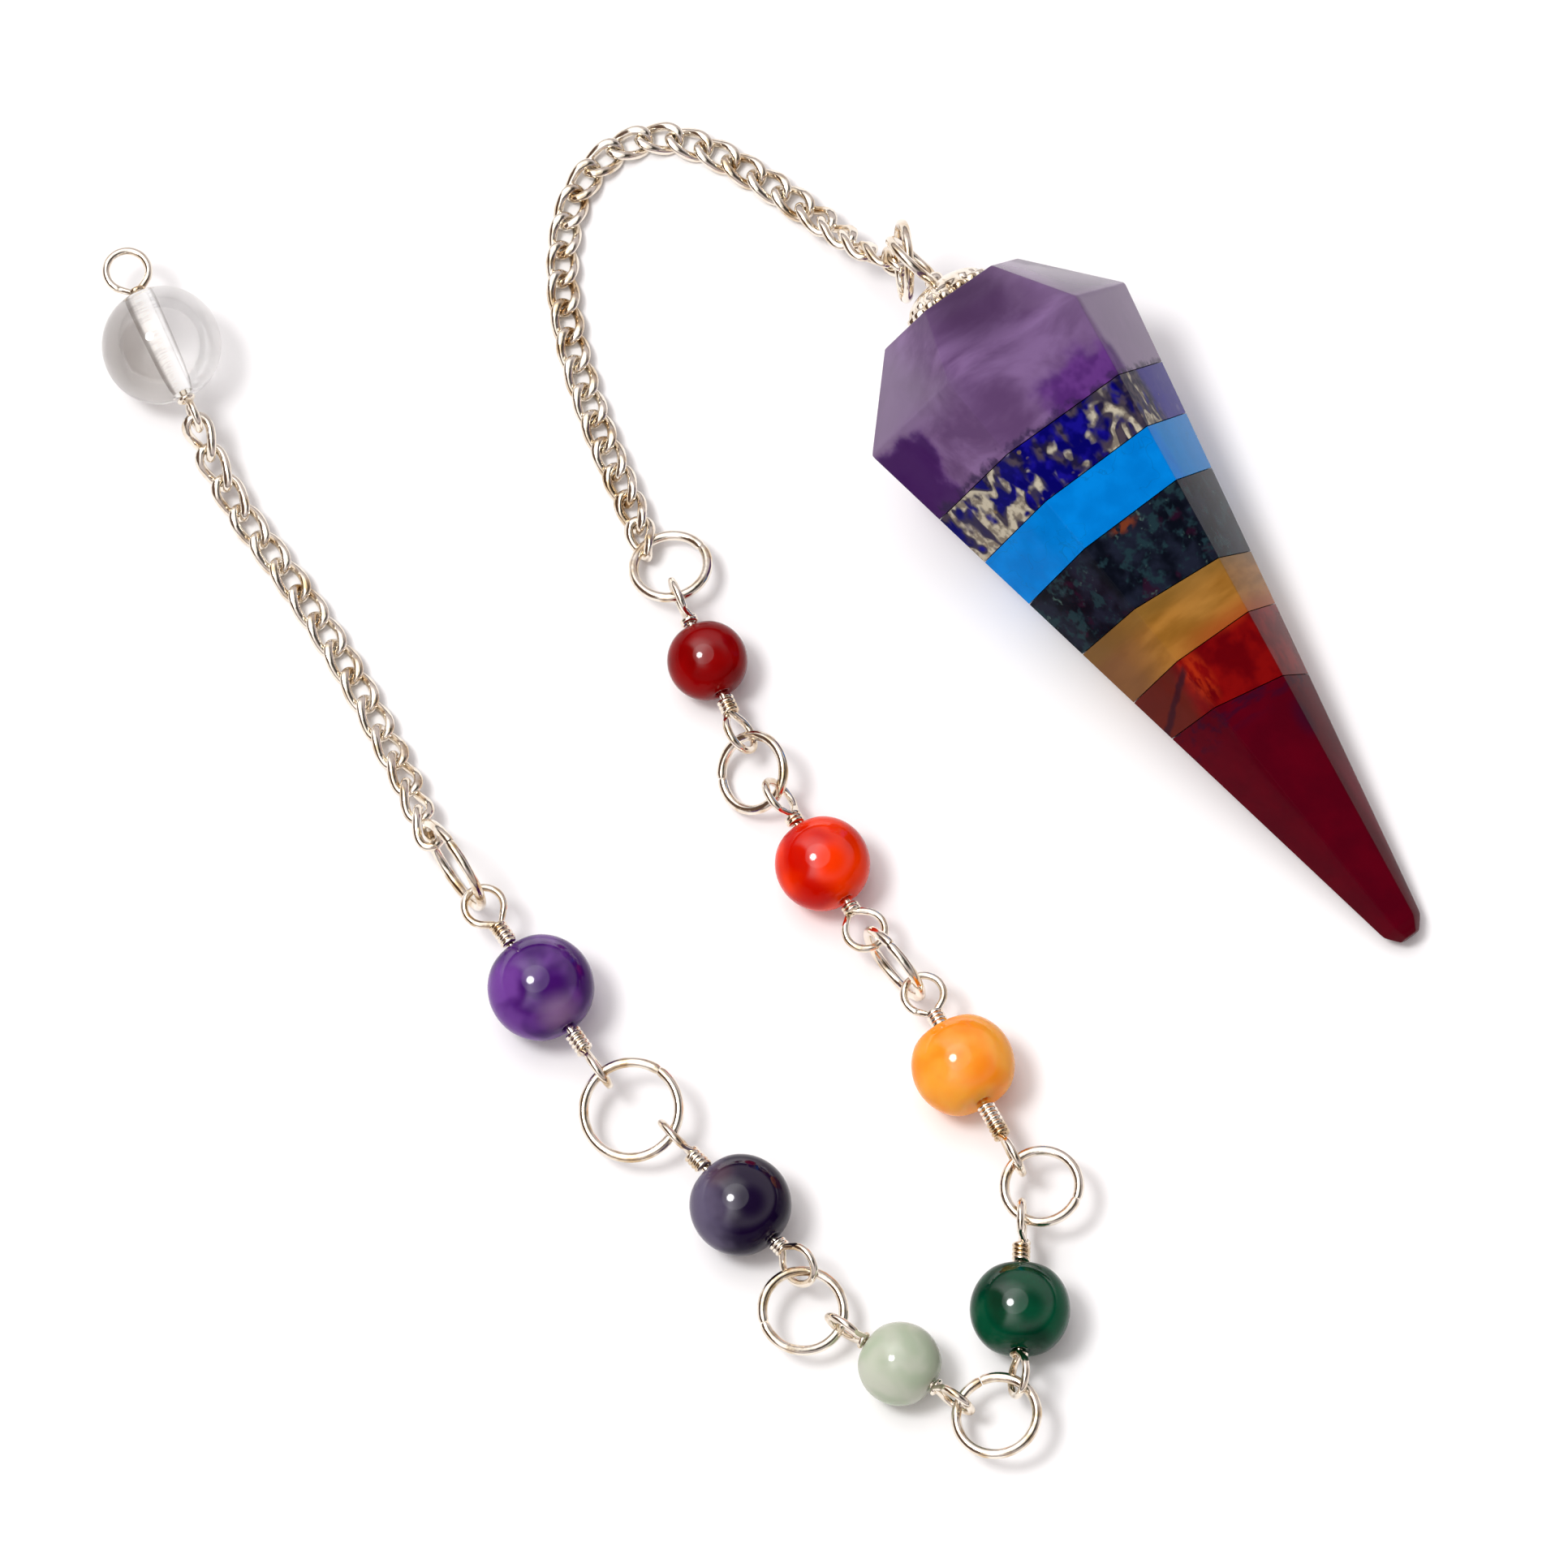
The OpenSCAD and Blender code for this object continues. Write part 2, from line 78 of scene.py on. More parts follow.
def smooth(points, steps=10):
    """A curve through points: each stretch is a cubic that leaves and meets its ends along the chords
    between their neighbours."""
    points = np.asarray(points, float)
    padded = np.concatenate([points[:1], points, points[-1:]])
    a, b, c, d = (padded[k:len(padded) - 3 + k, None] for k in range(4))
    t = (np.arange(steps) / steps)[None, :, None]
    curve = 0.5 * (2 * b + (c - a) * t + (2 * a - 5 * b + 4 * c - d) * t ** 2
                   + (3 * b - a - 3 * c + d) * t ** 3)
    return np.concatenate([curve.reshape(-1, 3), points[-1:]])


# Shapes: points in millimetres and the faces between them

class Shape:
    """Points with the faces between them, and whether each face is softly shaded. Two shapes add up to
    one mesh in which they lie side by side."""

    def __init__(self, points, faces, soft):
        self.points, self.faces, self.soft = points, faces, soft

    def __add__(self, other):
        first = len(self.points)
        moved = [[first + n for n in face] for face in other.faces]
        return Shape(np.concatenate([self.points, other.points]), self.faces + moved,
                     self.soft + other.soft)


def surface(grid, close_rows=False, ends=False, soft=None):
    """A grid of points, rows by columns, with a quad between each four. The columns always close; the
    rows close too, or end open, or end in flat faces. A face points outwards where its columns run
    left about the way that its rows go."""
    rows, columns = grid.shape[:2]
    r = np.arange(rows if close_rows else rows - 1)[:, None]
    c = np.arange(columns)[None, :]
    r2, c2 = (r + 1) % rows, (c + 1) % columns
    quads = np.stack([r * columns + c, r * columns + c2, r2 * columns + c2, r2 * columns + c], -1)
    faces = quads.reshape(-1, 4).tolist()
    shading = [True] * len(faces) if soft is None else soft.ravel().tolist()
    if ends:
        last = (rows - 1) * columns
        faces += [list(range(columns))[::-1], list(range(last, last + columns))]
        shading += [False, False]
    return Shape(grid.reshape(-1, 3), faces, shading)


def swept(centres, out, up, radius, sides, close_rows=False):
    """A round wire: at each centre a circle of the radius there, from out towards up."""
    turn = 2 * np.pi * np.arange(sides) / sides
    radius = np.broadcast_to(radius, len(centres))[:, None, None]
    spokes = np.cos(turn)[:, None] * out[:, None] + np.sin(turn)[:, None] * up[:, None]
    return surface(centres[:, None] + radius * spokes, close_rows, not close_rows)


def wire(path, sideways, radius, sides=12, close_rows=False):
    """A round wire along a path of points. The circle at each point starts square to the run there and
    to the sideways direction, which may change from point to point but never lies along the run."""
    if close_rows:
        run = unit(np.roll(path, -1, 0) - np.roll(path, 1, 0))
    else:
        run = unit(np.gradient(path, axis=0))
    out = unit(np.cross(run, sideways))
    return swept(path, out, np.cross(run, out), radius, sides, close_rows)


def hoop(centre, normal, middle, thickness, steps=72, sides=14):
    """A closed ring of round wire: the middle of the wire is a circle about the normal."""
    x = any_square(normal)
    y = np.cross(normal, x)
    t = (2 * np.pi * np.arange(steps) / steps)[:, None]
    path = centre + middle * (np.cos(t) * x + np.sin(t) * y)
    return wire(path, np.broadcast_to(normal, path.shape), thickness / 2, sides, True)


CUT = 0.07  # the open width of a jump ring's cut
OFF_LINE = 0.035  # how far each end of a cut ring stands out of its plane


def split_hoop(centre, x, normal, middle, thickness, split_at, steps=84, sides=16):
    """A jump ring: a circle of round wire about the normal, cut through at an angle from x. The wire's
    radius falls off over its last steps, as on a cut and tumbled end."""
    y = np.cross(normal, x)
    half_cut = 0.5 * CUT / middle
    t = radians(split_at) + np.linspace(half_cut, 2 * np.pi - half_cut, steps)[:, None]
    path = centre + middle * (np.cos(t) * x + np.sin(t) * y)
    # the two sides of the cut stand a hair out of line, as pliers leave them
    path = path + (np.linspace(-1, 1, steps)[:, None] ** 3) * OFF_LINE * normal
    from_end = np.minimum(np.arange(steps), np.arange(steps)[::-1])
    radius = thickness / 2 * np.where(from_end == 0, 0.86, 1.0)
    return wire(path, np.broadcast_to(normal, path.shape), radius, sides)


def turned(profile, origin, axis, sides):
    """A turned piece: a profile of (radius, height) points carried round an axis. The outer side of the
    profile goes up the axis, and the way back down is the bore."""
    x = any_square(axis)
    y = np.cross(axis, x)
    t = (2 * np.pi * np.arange(sides) / sides)[None, :, None]
    radius, height = profile[:, 0][:, None, None], profile[:, 1][:, None, None]
    return surface(origin + radius * (np.cos(t) * x + np.sin(t) * y) + height * axis, close_rows=True)


# The stone point: a stack of hexagons along its axis, laid on one long face

STONE_LEN = 47.8
STONE_W = 19.1
TOP_W = 10.0
CROWN_LEN = 4.95
TIP_W = 2.8
BEVEL_LEN = 0.8
GLUE_LINE = 0.06
FLAT_SHARE = cos(radians(30))  # a hexagon's inscribed radius as a share of its corner radius
DIP = atan((STONE_W - TIP_W) / 2 * FLAT_SHARE / (STONE_LEN - BEVEL_LEN - CROWN_LEN))
STONE_AXIS = unit(heading(-53.8) * cos(DIP) - np.array([0, 0, sin(DIP)]))
STONE_SIDE = left_of(heading(-53.8))
STONE_UP = np.cross(STONE_AXIS, STONE_SIDE)
STONE_LIFT = CROWN_LEN * sin(DIP) + STONE_W / 2 * FLAT_SHARE * cos(DIP)
STONE_TOP = SHIFT + np.array([10.15, 27.8, STONE_LIFT])
# where each layer ends, as a share of the stone's length, and how far that joint slants
LAYERS = [(0.217, -1), (0.2915, -2), (0.368, -2.3), (0.472, 3), (0.5525, -0.5), (0.635, 9), (1.0, 0)]
EDGE = 0.16  # radius of the polished edges between the facets
SOFTNESS = 0.1  # how far the edges round the shoulder and the bevel are softened
SOFT_END = 0.05  # the small chamfer round the two flat ends
EDGE_STEPS = 4


def stone_radius(s):
    """Corner radius of the hexagon at s along the axis: the lowest of three straight lines, the crown's,
    the long taper's and the end bevel's, with a soft change from one to the next."""
    crown = TOP_W / 2 + s * (STONE_W - TOP_W) / 2 / CROWN_LEN
    taper = STONE_W / 2 - (s - CROWN_LEN) * (STONE_W - TIP_W) / 2 / (STONE_LEN - BEVEL_LEN - CROWN_LEN)
    bevel = TIP_W / 2 - (s - STONE_LEN + BEVEL_LEN) * TIP_W / 4 / BEVEL_LEN
    low = 0.5 * (crown + taper - np.sqrt((crown - taper) ** 2 + SOFTNESS ** 2))
    return 0.5 * (low + bevel - np.sqrt((low - bevel) ** 2 + SOFTNESS ** 2))


def stone_layer(number):
    """One layer: rows of rounded hexagons, the corner arcs of which shrink towards the axis with the
    hexagon, while a row on a joint leans with that joint. Facets are flat and arcs soft."""
    start, end = 0.0, STONE_LEN
    start_slant = end_slant = 0.0
    if number > 0:
        share, start_slant = LAYERS[number - 1]
        start = share * STONE_LEN + GLUE_LINE / 2
    if number < len(LAYERS) - 1:
        share, end_slant = LAYERS[number]
        end = share * STONE_LEN - GLUE_LINE / 2
    bend = SOFTNESS * np.array([-3, -1.6, -0.8, -0.3, 0, 0.3, 0.8, 1.6, 3])
    between = np.concatenate([[SOFT_END], CROWN_LEN + bend, STONE_LEN - BEVEL_LEN + bend,
                              [STONE_LEN - SOFT_END]])
    between = between[(between > start + 0.01) & (between < end - 0.01)]
    rows = np.concatenate([[start], between, [end]])
    lean = np.zeros(len(rows))
    lean[0], lean[-1] = tan(radians(start_slant)), tan(radians(end_slant))
    inset = np.zeros(len(rows))  # the flat ends have a soft edge too
    if number == 0:
        inset[0] = SOFT_END
    if number == len(LAYERS) - 1:
        inset[-1] = SOFT_END
    arc = radians(60) * (np.arange(EDGE_STEPS + 1) / EDGE_STEPS - 0.5)
    corner = radians(60) * np.arange(6)
    turn = (corner[:, None] + arc).ravel()[None, :]
    corner = np.repeat(corner, EDGE_STEPS + 1)[None, :]
    s = np.repeat(rows[:, None], turn.shape[1], 1)
    for _ in range(4):  # a joint's height depends on the width there, so it settles in a few turns
        radius = stone_radius(s) - inset[:, None]
        edge = np.minimum(EDGE, 0.35 * radius)
        p = (radius - edge / FLAT_SHARE) * np.cos(corner) + edge * np.cos(turn)
        s = rows[:, None] + lean[:, None] * p
    q = (radius - edge / FLAT_SHARE) * np.sin(corner) + edge * np.sin(turn)
    grid = STONE_TOP + s[..., None] * STONE_AXIS + p[..., None] * STONE_SIDE + q[..., None] * STONE_UP
    on_arc = np.arange(turn.shape[1]) % (EDGE_STEPS + 1) < EDGE_STEPS
    short = np.diff(rows) < 4 * SOFTNESS
    return surface(grid, ends=True, soft=short[:, None] | on_arc[None, :])


# The bell cap and the ring on it

CAP_D = 4.8
SCALLOP_D = 1.1
SCALLOPS = 14
RIM_T = 0.55
DOME_H = 1.05
CAP_GAP = 0.06
CAP_LOOP_WIRE = 0.6
CAP_LOOP_MID = (4.3 - CAP_LOOP_WIRE) / 2
LOOP_LEAN = 0.2  # how far the cap's loop leans sideways, as a share of its height
LOOP_TURN = 20  # how far the loop is turned about its own run
CAP_AT = STONE_TOP - CAP_GAP * STONE_AXIS
CAP_LOOP_RUN = unit(-STONE_AXIS - LOOP_LEAN * STONE_SIDE)
CAP_LOOP_AT = CAP_AT - (RIM_T + DOME_H) * STONE_AXIS + CAP_LOOP_MID * CAP_LOOP_RUN
CAP_LOOP_SIDE = square_to(STONE_SIDE, CAP_LOOP_RUN)
CAP_LOOP_NORMAL = (np.cross(CAP_LOOP_RUN, CAP_LOOP_SIDE) * sin(radians(LOOP_TURN))
                   - CAP_LOOP_SIDE * cos(radians(LOOP_TURN)))
RING_WIRE = 0.55
FULL_RING_WIRE = 0.62  # the solids' rings are thinner, to stay clear of what they hold
CAP_RING_MID = (5.1 - RING_WIRE) / 2
CAP_RING_NORMAL = unit(np.array([0.99, 0.1, -0.1]))
CAP_RING_UP = square_to(np.array([0, 0, 1.0]), CAP_RING_NORMAL)
CAP_RING_FAR = np.cross(CAP_RING_UP, CAP_RING_NORMAL)
CAP_RING_AT = (CAP_LOOP_AT + 0.35 * CAP_LOOP_RUN
               + CAP_RING_MID * square_to(np.array([-0.12, 0.25, -0.96]), CAP_RING_NORMAL))
CAP_HOOK = 15  # how far beyond its ring's lowest place the upper chain starts


def bell_cap():
    """A domed disc whose radius swells and narrows by the power of a sine round its rim, into petals
    that fade out up the dome; then a ball that holds the loop, and the loop."""
    rim, rise = CAP_D / 2, 0.16
    petal = SCALLOP_D / 2
    knob_radius, knob_half = 0.62, 0.5
    height = np.array([0, 0.03, rise, RIM_T - rise, RIM_T - 0.03, RIM_T + 0.02])
    radius = np.array([rim - 0.12, rim - 0.03, rim, rim, rim - 0.04, rim - 0.14])
    depth = petal * np.array([0.86, 0.96, 1, 1, 0.94, 0.8])
    dome = np.radians(np.arange(14, 84, 6))
    height = np.concatenate([height, RIM_T + DOME_H * np.sin(dome)])
    radius = np.concatenate([radius, rim * np.cos(dome)])
    depth = np.concatenate([depth, 0.4 * petal * np.cos(dome) ** 5])
    knob = np.radians(np.arange(-35, 90, 15))
    height = np.concatenate([height, RIM_T + DOME_H + 0.1 + knob_half * np.sin(knob)])
    radius = np.concatenate([radius, knob_radius * np.cos(knob)])
    depth = np.concatenate([depth, np.zeros(len(knob))])
    steps = 12 * SCALLOPS
    t = 2 * np.pi * np.arange(steps) / steps
    wave = np.abs(np.cos(0.5 * SCALLOPS * t)) ** 0.7
    flute = radius[:, None] + depth[:, None] * wave
    x = any_square(-STONE_AXIS)
    y = np.cross(-STONE_AXIS, x)
    grid = CAP_AT + flute[..., None] * (np.cos(t)[None, :, None] * x + np.sin(t)[None, :, None] * y)
    grid = grid - height[:, None, None] * STONE_AXIS
    loop = hoop(CAP_LOOP_AT, CAP_LOOP_NORMAL, CAP_LOOP_MID, CAP_LOOP_WIRE)
    return surface(grid, ends=True) + loop


# Jump rings, bead pins and beads

PIN_WIRE = 0.48
EYE_MID = (2.9 - PIN_WIRE) / 2
BORE_PLAY = 0.14
NECK_GAP = 0.12  # between a bead and the wraps beside it
HOOK_REACH = 0.3  # how far an eye's middle lies beyond the ring's wire that it holds
HOOK_DROP = 0.22  # how far a flat ring hangs below the middle of its eyes
SMALL, MIDDLE, LARGE = 5.1, 5.5, 6.4
# place, outer diameter, heading from the hook before to the hook after, roll about that line, how far
# each hook is turned round the ring from that line, how far the eye on each hook leans about its pin,
# and where the ring is cut
RINGS = [
    (-6.9, 13.5, SMALL, -61, 0, 16, -16, 0, 0, 95),
    (-1.9, -0.05, SMALL, -68, 38, -6, 24, 0, 0, 250),
    (6.7, -12.6, MIDDLE, -50, 90, 0, 0, 0, 0, 100),
    (15.6, -27, SMALL, -82, 5, 34, -36, 0, 0, 60),
    (12.85, -41.6, MIDDLE, 173, 0, 68, -16, -30, 0, 300),
    (1.15, -34.85, MIDDLE, 124, 0, 32, -28, 0, 30, 75),
    (-9.25, -22.05, LARGE, 129, -14, 17, 0, 0, 0, 285),
    (-20, -6.4, LARGE, 124, 90, 0, 0, 0, 0, 80),
]
# diameter, length along the pin as a share of it, and place along the pin
BEADS = [(4.9, 0.97, 0.46), (5.8, 0.97, 0.5), (6.3, 0.84, 0.44), (6.1, 0.87, 0.57), (5.1, 0.95, 0.5),
         (6.2, 0.97, 0.47), (6.5, 0.97, 0.5)]
FIRST_HOOK_Z = 1.0  # height of the first ring's wire where the upper chain holds it
LAST_HOOK_Z = 2.1  # the same for the last ring and the lower chain
UPRIGHT = 80  # a ring that is rolled further than this stands on its edge
STAND_GAP = 0.02  # how far an upright ring clears the table, with wire as thin as the solid's


class JumpRing:
    """Where a jump ring lies: its plane carries both of its hooks, at the heights of the pins that they
    hold, and an upright ring stands on the table."""

    def __init__(self, i):
        at_x, at_y, outer, head, roll, turn_in, turn_out, self.lean_in, self.lean_out, self.cut = RINGS[i]
        self.mid = (outer - RING_WIRE) / 2
        drop = HOOK_DROP * cos(radians(roll))
        z_in = FIRST_HOOK_Z if i == 0 else BEADS[i - 1][0] / 2 - drop
        z_out = LAST_HOOK_Z if i == len(RINGS) - 1 else BEADS[i][0] / 2 - drop
        lean = sin(radians(roll))
        if roll > UPRIGHT:
            z = outer / 2 + STAND_GAP
            self.angle_in = 180 - degrees(asin((z_in - z) / self.mid))
            self.angle_out = degrees(asin((z_out - z) / self.mid))
            rise = 0.0
        else:
            self.angle_in, self.angle_out = 180 + turn_in, turn_out
            a, b = radians(self.angle_in), radians(self.angle_out)
            rise = ((z_out - z_in) / self.mid - (sin(b) - sin(a)) * lean) / (cos(b) - cos(a))
            z = z_in - self.mid * (cos(a) * rise + sin(a) * lean)
        self.at = SHIFT + np.array([at_x, at_y, z])
        self.ahead = unit(heading(head) + np.array([0, 0, rise]))
        self.across = square_to(left_of(heading(head)) * cos(radians(roll)) + np.array([0, 0, lean]),
                                self.ahead)
        self.normal = np.cross(self.ahead, self.across)

    def spoke(self, angle):
        """The direction from the ring's middle to its wire at an angle from ahead."""
        return cos(radians(angle)) * self.ahead + sin(radians(angle)) * self.across

    def run(self, angle):
        """The direction of the ring's wire at an angle."""
        return unit(cos(radians(angle)) * self.across - sin(radians(angle)) * self.ahead)

    def eye_spot(self, angle, z):
        """The middle of a pin's eye that holds this ring at an angle, level with its bead."""
        level = self.spoke(angle) * np.array([1, 1, 0])
        spot = self.at + self.mid * self.spoke(angle) + HOOK_REACH * unit(level)
        return np.array([spot[0], spot[1], z])

    def shape(self):
        return split_hoop(self.at, self.ahead, self.normal, self.mid, FULL_RING_WIRE, self.cut)


rings = [JumpRing(i) for i in range(len(RINGS))]


POLE_POWER = 16  # how sharply a bead's round side turns into its flat poles
LIP = 0.16  # radius of the rounded edge at a bead's bore


def bead_profile(across, length, bore, lip):
    """A bead's half outline, there and back: a circle whose height is pressed softly to the flat poles,
    down to a rounded lip at the bore, then the bore."""
    half = length / 2
    a = np.radians(np.linspace(-90, 90, 75))
    radius, height = across / 2 * np.cos(a), across / 2 * np.sin(a)
    height = height / (1 + (np.abs(height) / half) ** POLE_POWER) ** (1 / POLE_POWER)
    keep = radius > bore / 2 + lip
    radius, height = radius[keep], height[keep]
    turn = np.radians(np.linspace(75, 0, 5))
    top = height[-1] - lip * (1 - np.sin(turn))
    upper = np.stack([bore / 2 + lip * (1 - np.cos(turn)), top], 1)
    lower = upper[::-1] * np.array([1, 0]) - np.stack([0 * top, top[::-1]], 1)
    inside = np.stack([np.full(5, bore / 2), np.linspace(top[-1], -top[-1], 7)[1:-1]], 1)
    return np.concatenate([lower, np.stack([radius, height], 1), upper, inside])


def bead(at, run, across, length, bore, sides=72):
    """A drilled bead about its pin."""
    return turned(bead_profile(across, length, bore, LIP), at, run, sides)


WRAP_WIRE = 0.33  # the pin's wire, drawn thinner where it is wound round the neck
WRAP_PITCH = 0.36


def eye(centre, run, normal, middle, reach, neck):
    """One end of a pin in one length of wire: a straight stem on the pin's line, a round eye in the
    plane square to normal, then thinner turns of a helix about the stem as far as the neck."""
    x, z = run, normal
    y = np.cross(z, x)
    thick, thin = PIN_WIRE / 2, WRAP_WIRE / 2
    stem = np.stack([np.linspace(reach, middle + 0.34, 6), np.zeros(6), np.zeros(6)], 1)
    a = np.radians(np.arange(32, 322, 12))
    loop = np.stack([middle * np.cos(a), middle * np.sin(a), 0 * a], 1)
    turns = max(1.0, round((neck - middle - 0.1) / WRAP_PITCH * 2) / 2)
    b = np.radians(np.arange(0, 360 * turns + 120, 24))
    coil_radius = thick + thin
    start = middle + thin - 0.02
    end = max(neck - thin, start + 0.02)
    along = start + (end - start) * np.clip((b - b[0]) / (b[-1] - b[0]), 0, 1)
    coil = np.stack([along, -coil_radius * np.cos(b + 0.5), coil_radius * np.sin(b + 0.5)], 1)
    steps = 3
    path = smooth(np.concatenate([stem, loop, coil]), steps)
    # how far each point has gone from the eye to the wraps, over three of their given points
    eye_end = steps * (len(stem) + len(loop) - 2)
    share = np.clip((np.arange(len(path)) - eye_end) / (3 * steps), 0, 1)[:, None]
    sideways = unit((1 - share) * np.array([0, 0, 1.0]) + share * np.array([1.0, 0, 0]))
    radius = thick + (thin - thick) * share[:, 0]
    local = wire(path, sideways, radius, 12)
    local.points = centre + local.points @ np.array([x, y, z])
    return local


def pin(a, b, normal_a, normal_b, mid_a, mid_b, bead_at, length):
    """A pin: two eyes whose stems meet end to end in the middle of the bead."""
    run = unit(b - a)
    to_a, to_b = np.linalg.norm(bead_at - a), np.linalg.norm(b - bead_at)
    return (eye(a, run, square_to(normal_a, run), mid_a, to_a, to_a - length / 2 - NECK_GAP)
            + eye(b, -run, square_to(normal_b, run), mid_b, to_b, to_b - length / 2 - NECK_GAP))


def leaning(wire_run, run, lean):
    """The direction square to an eye: along the wire in it, but square to its pin, and then leaning."""
    flat = square_to(wire_run, run)
    return flat * cos(radians(lean)) + np.cross(run, flat) * sin(radians(lean))


class BeadOnPin:
    """Where a bead and its pin lie between two jump rings."""

    def __init__(self, i):
        self.across, squash, share = BEADS[i]
        z = self.across / 2
        before, after = rings[i], rings[i + 1]
        self.a = before.eye_spot(before.angle_out, z)
        self.b = after.eye_spot(after.angle_in, z)
        self.run = unit(self.b - self.a)
        self.normals = (leaning(before.run(before.angle_out), self.run, before.lean_out),
                        leaning(after.run(after.angle_in), self.run, after.lean_in))
        self.at = self.a + share * (self.b - self.a)
        self.length = self.across * squash

    def bead(self):
        return bead(self.at, self.run, self.across, self.length, PIN_WIRE + 2 * BORE_PLAY)

    def pin(self):
        return pin(self.a, self.b, *self.normals, EYE_MID, EYE_MID, self.at, self.length)


strung = [BeadOnPin(i) for i in range(len(BEADS))]

# The quartz ball at the chain's far end

BALL_D = 7.3
BALL_AT = SHIFT + np.array([-37.9, 27.1, BALL_D / 2])
BALL_RUN = heading(-66.5)
BALL_PIN_WIRE = 0.5
BALL_BORE = 1.15  # wider than the solid's, to look as wide as the real one through the ball
BALL_NECK = 0.2
BALL_HOOK = 45  # how far round the eye, below its far end, the first link hangs
END_LOOP_MID = (3.1 - BALL_PIN_WIRE) / 2
BALL_EYE_MID = (2.4 - BALL_PIN_WIRE) / 2
END_LOOP_AT = BALL_AT - (BALL_D / 2 + NECK_GAP + BALL_NECK + END_LOOP_MID) * BALL_RUN
BALL_EYE_AT = BALL_AT + (BALL_D / 2 + NECK_GAP + BALL_NECK + BALL_EYE_MID) * BALL_RUN

# The chains. Their routes are a few given points.

LINK_WIRE = 0.38
FULL_LINK_WIRE = 0.58  # the solids' links are thinner, to stay clear of each other
FILED = 8  # how sharply the links' flat sides turn into their round ones
LINK_PLAY = 0.26  # how far two links can slide on each other
LINK_W = 1.86
UPPER_PITCH = 1.88
LOWER_PITCH = 2.1
UPPER_ROUTE = [
    (6.2, 32.5, 4.1), (4.6, 33.7, 2.9), (3, 35.3, 1.85), (1.2, 37, 0.98), (-1.4, 39, 0.63),
    (-4.4, 40.8, 0.58), (-7.2, 41.7, 0.58), (-9.9, 41.1, 0.58), (-12, 39.2, 0.58),
    (-13.2, 36.3, 0.58), (-13.5, 32.4, 0.58), (-13, 28.7, 0.58), (-12.1, 25.2, 0.62),
    (-11, 21.9, 0.74), (-9.8, 18.9, 0.82), (-9, 16.8, 0.84)]
LOWER_ROUTE = [
    (-35, 20.6, 2.1), (-34.05, 18.9, 1.4), (-32.9, 17, 0.95), (-31.1, 14.5, 0.75), (-29.4, 12, 0.64),
    (-27.25, 8.5, 0.58), (-25.4, 5.1, 0.66), (-24.2, 2.5, 0.82), (-23.1, 0.15, 1.15)]


def chain_frames(route, pitch, wire_a, wire_b):
    """Middle, run, side and up of each link: links a pitch apart along the smooth route, each rolled
    about its run so that the end links clasp their rings, a roll that dies away over five links."""
    path = smooth(route)
    gone = np.concatenate([[0], np.cumsum(np.linalg.norm(np.diff(path, axis=0), axis=1))])
    half = (pitch + LINK_WIRE + LINK_PLAY) / 2
    first = half - LINK_WIRE / 2 - RING_WIRE / 2 - LINK_PLAY
    last = gone[-1] - first
    count = round((last - first) / pitch) + 1
    t = np.linspace(first, last, count)

    def on_route(where):
        return np.stack([np.interp(where, gone, path[:, k]) for k in range(3)], -1)

    look, ease = 0.2, 5
    run = unit(on_route(t + look) - on_route(t - look))
    side = unit(np.cross([0, 0, 1.0], run))
    up = np.cross(run, side)

    def roll_for(wire_run, k, turn):
        angle = degrees(atan2(wire_run @ up[k], wire_run @ side[k])) + turn
        return angle - 180 * round(angle / 180)

    n = np.arange(count)
    roll = np.radians(roll_for(wire_a, 0, -45) * np.clip(1 - n / ease, 0, None)
                      + roll_for(wire_b, -1, 45) * np.clip(1 - n[::-1] / ease, 0, None))[:, None]
    return (on_route(t), run, side * np.cos(roll) + up * np.sin(roll),
            up * np.cos(roll) - side * np.sin(roll), half)


def chain(frames, steps=40, sides=12):
    """Curb links: each is an oval that leaves its plane by a wave of two periods, swept by round wire
    and pressed softly to the flat sides of a filed chain. Every link is carried into its own frame."""
    middle, run, side, up, half = frames
    b = (LINK_W - LINK_WIRE) / 2
    c = b / 2
    flat = c + LINK_WIRE / 2
    t = 2 * np.pi * (np.arange(steps) + 0.5) / steps
    oval = np.stack([half * np.cos(t), b * np.sin(t), c * np.sin(2 * t)], 1)
    along = unit(np.stack([-half * np.sin(t), b * np.cos(t), 2 * c * np.cos(2 * t)], 1))
    out = unit(np.cross(along, [0, 0, 1.0]))
    link = swept(oval, out, np.cross(along, out), FULL_LINK_WIRE / 2, sides, True)
    z = link.points[:, 2]
    link.points[:, 2] = z / (1 + (np.abs(z) / flat) ** FILED) ** (1 / FILED)
    q = link.points[None, :, :]
    points = (middle[:, None] + q[..., :1] * run[:, None] + q[..., 1:2] * side[:, None]
              + q[..., 2:] * up[:, None])
    first = len(link.points) * np.arange(len(middle))
    faces = (np.array(link.faces)[None] + first[:, None, None]).reshape(-1, 4).tolist()
    return Shape(points.reshape(-1, 3), faces, [True] * len(faces))


def upper_chain():
    far, down = sin(radians(CAP_HOOK)), cos(radians(CAP_HOOK))
    start = CAP_RING_AT + CAP_RING_MID * (far * CAP_RING_FAR - down * CAP_RING_UP)
    end = rings[0].at + rings[0].mid * rings[0].spoke(rings[0].angle_in)
    route = np.concatenate([[start], SHIFT + np.array(UPPER_ROUTE), [end]])
    return chain(chain_frames(route, UPPER_PITCH, down * CAP_RING_FAR + far * CAP_RING_UP,
                              rings[0].run(rings[0].angle_in)))


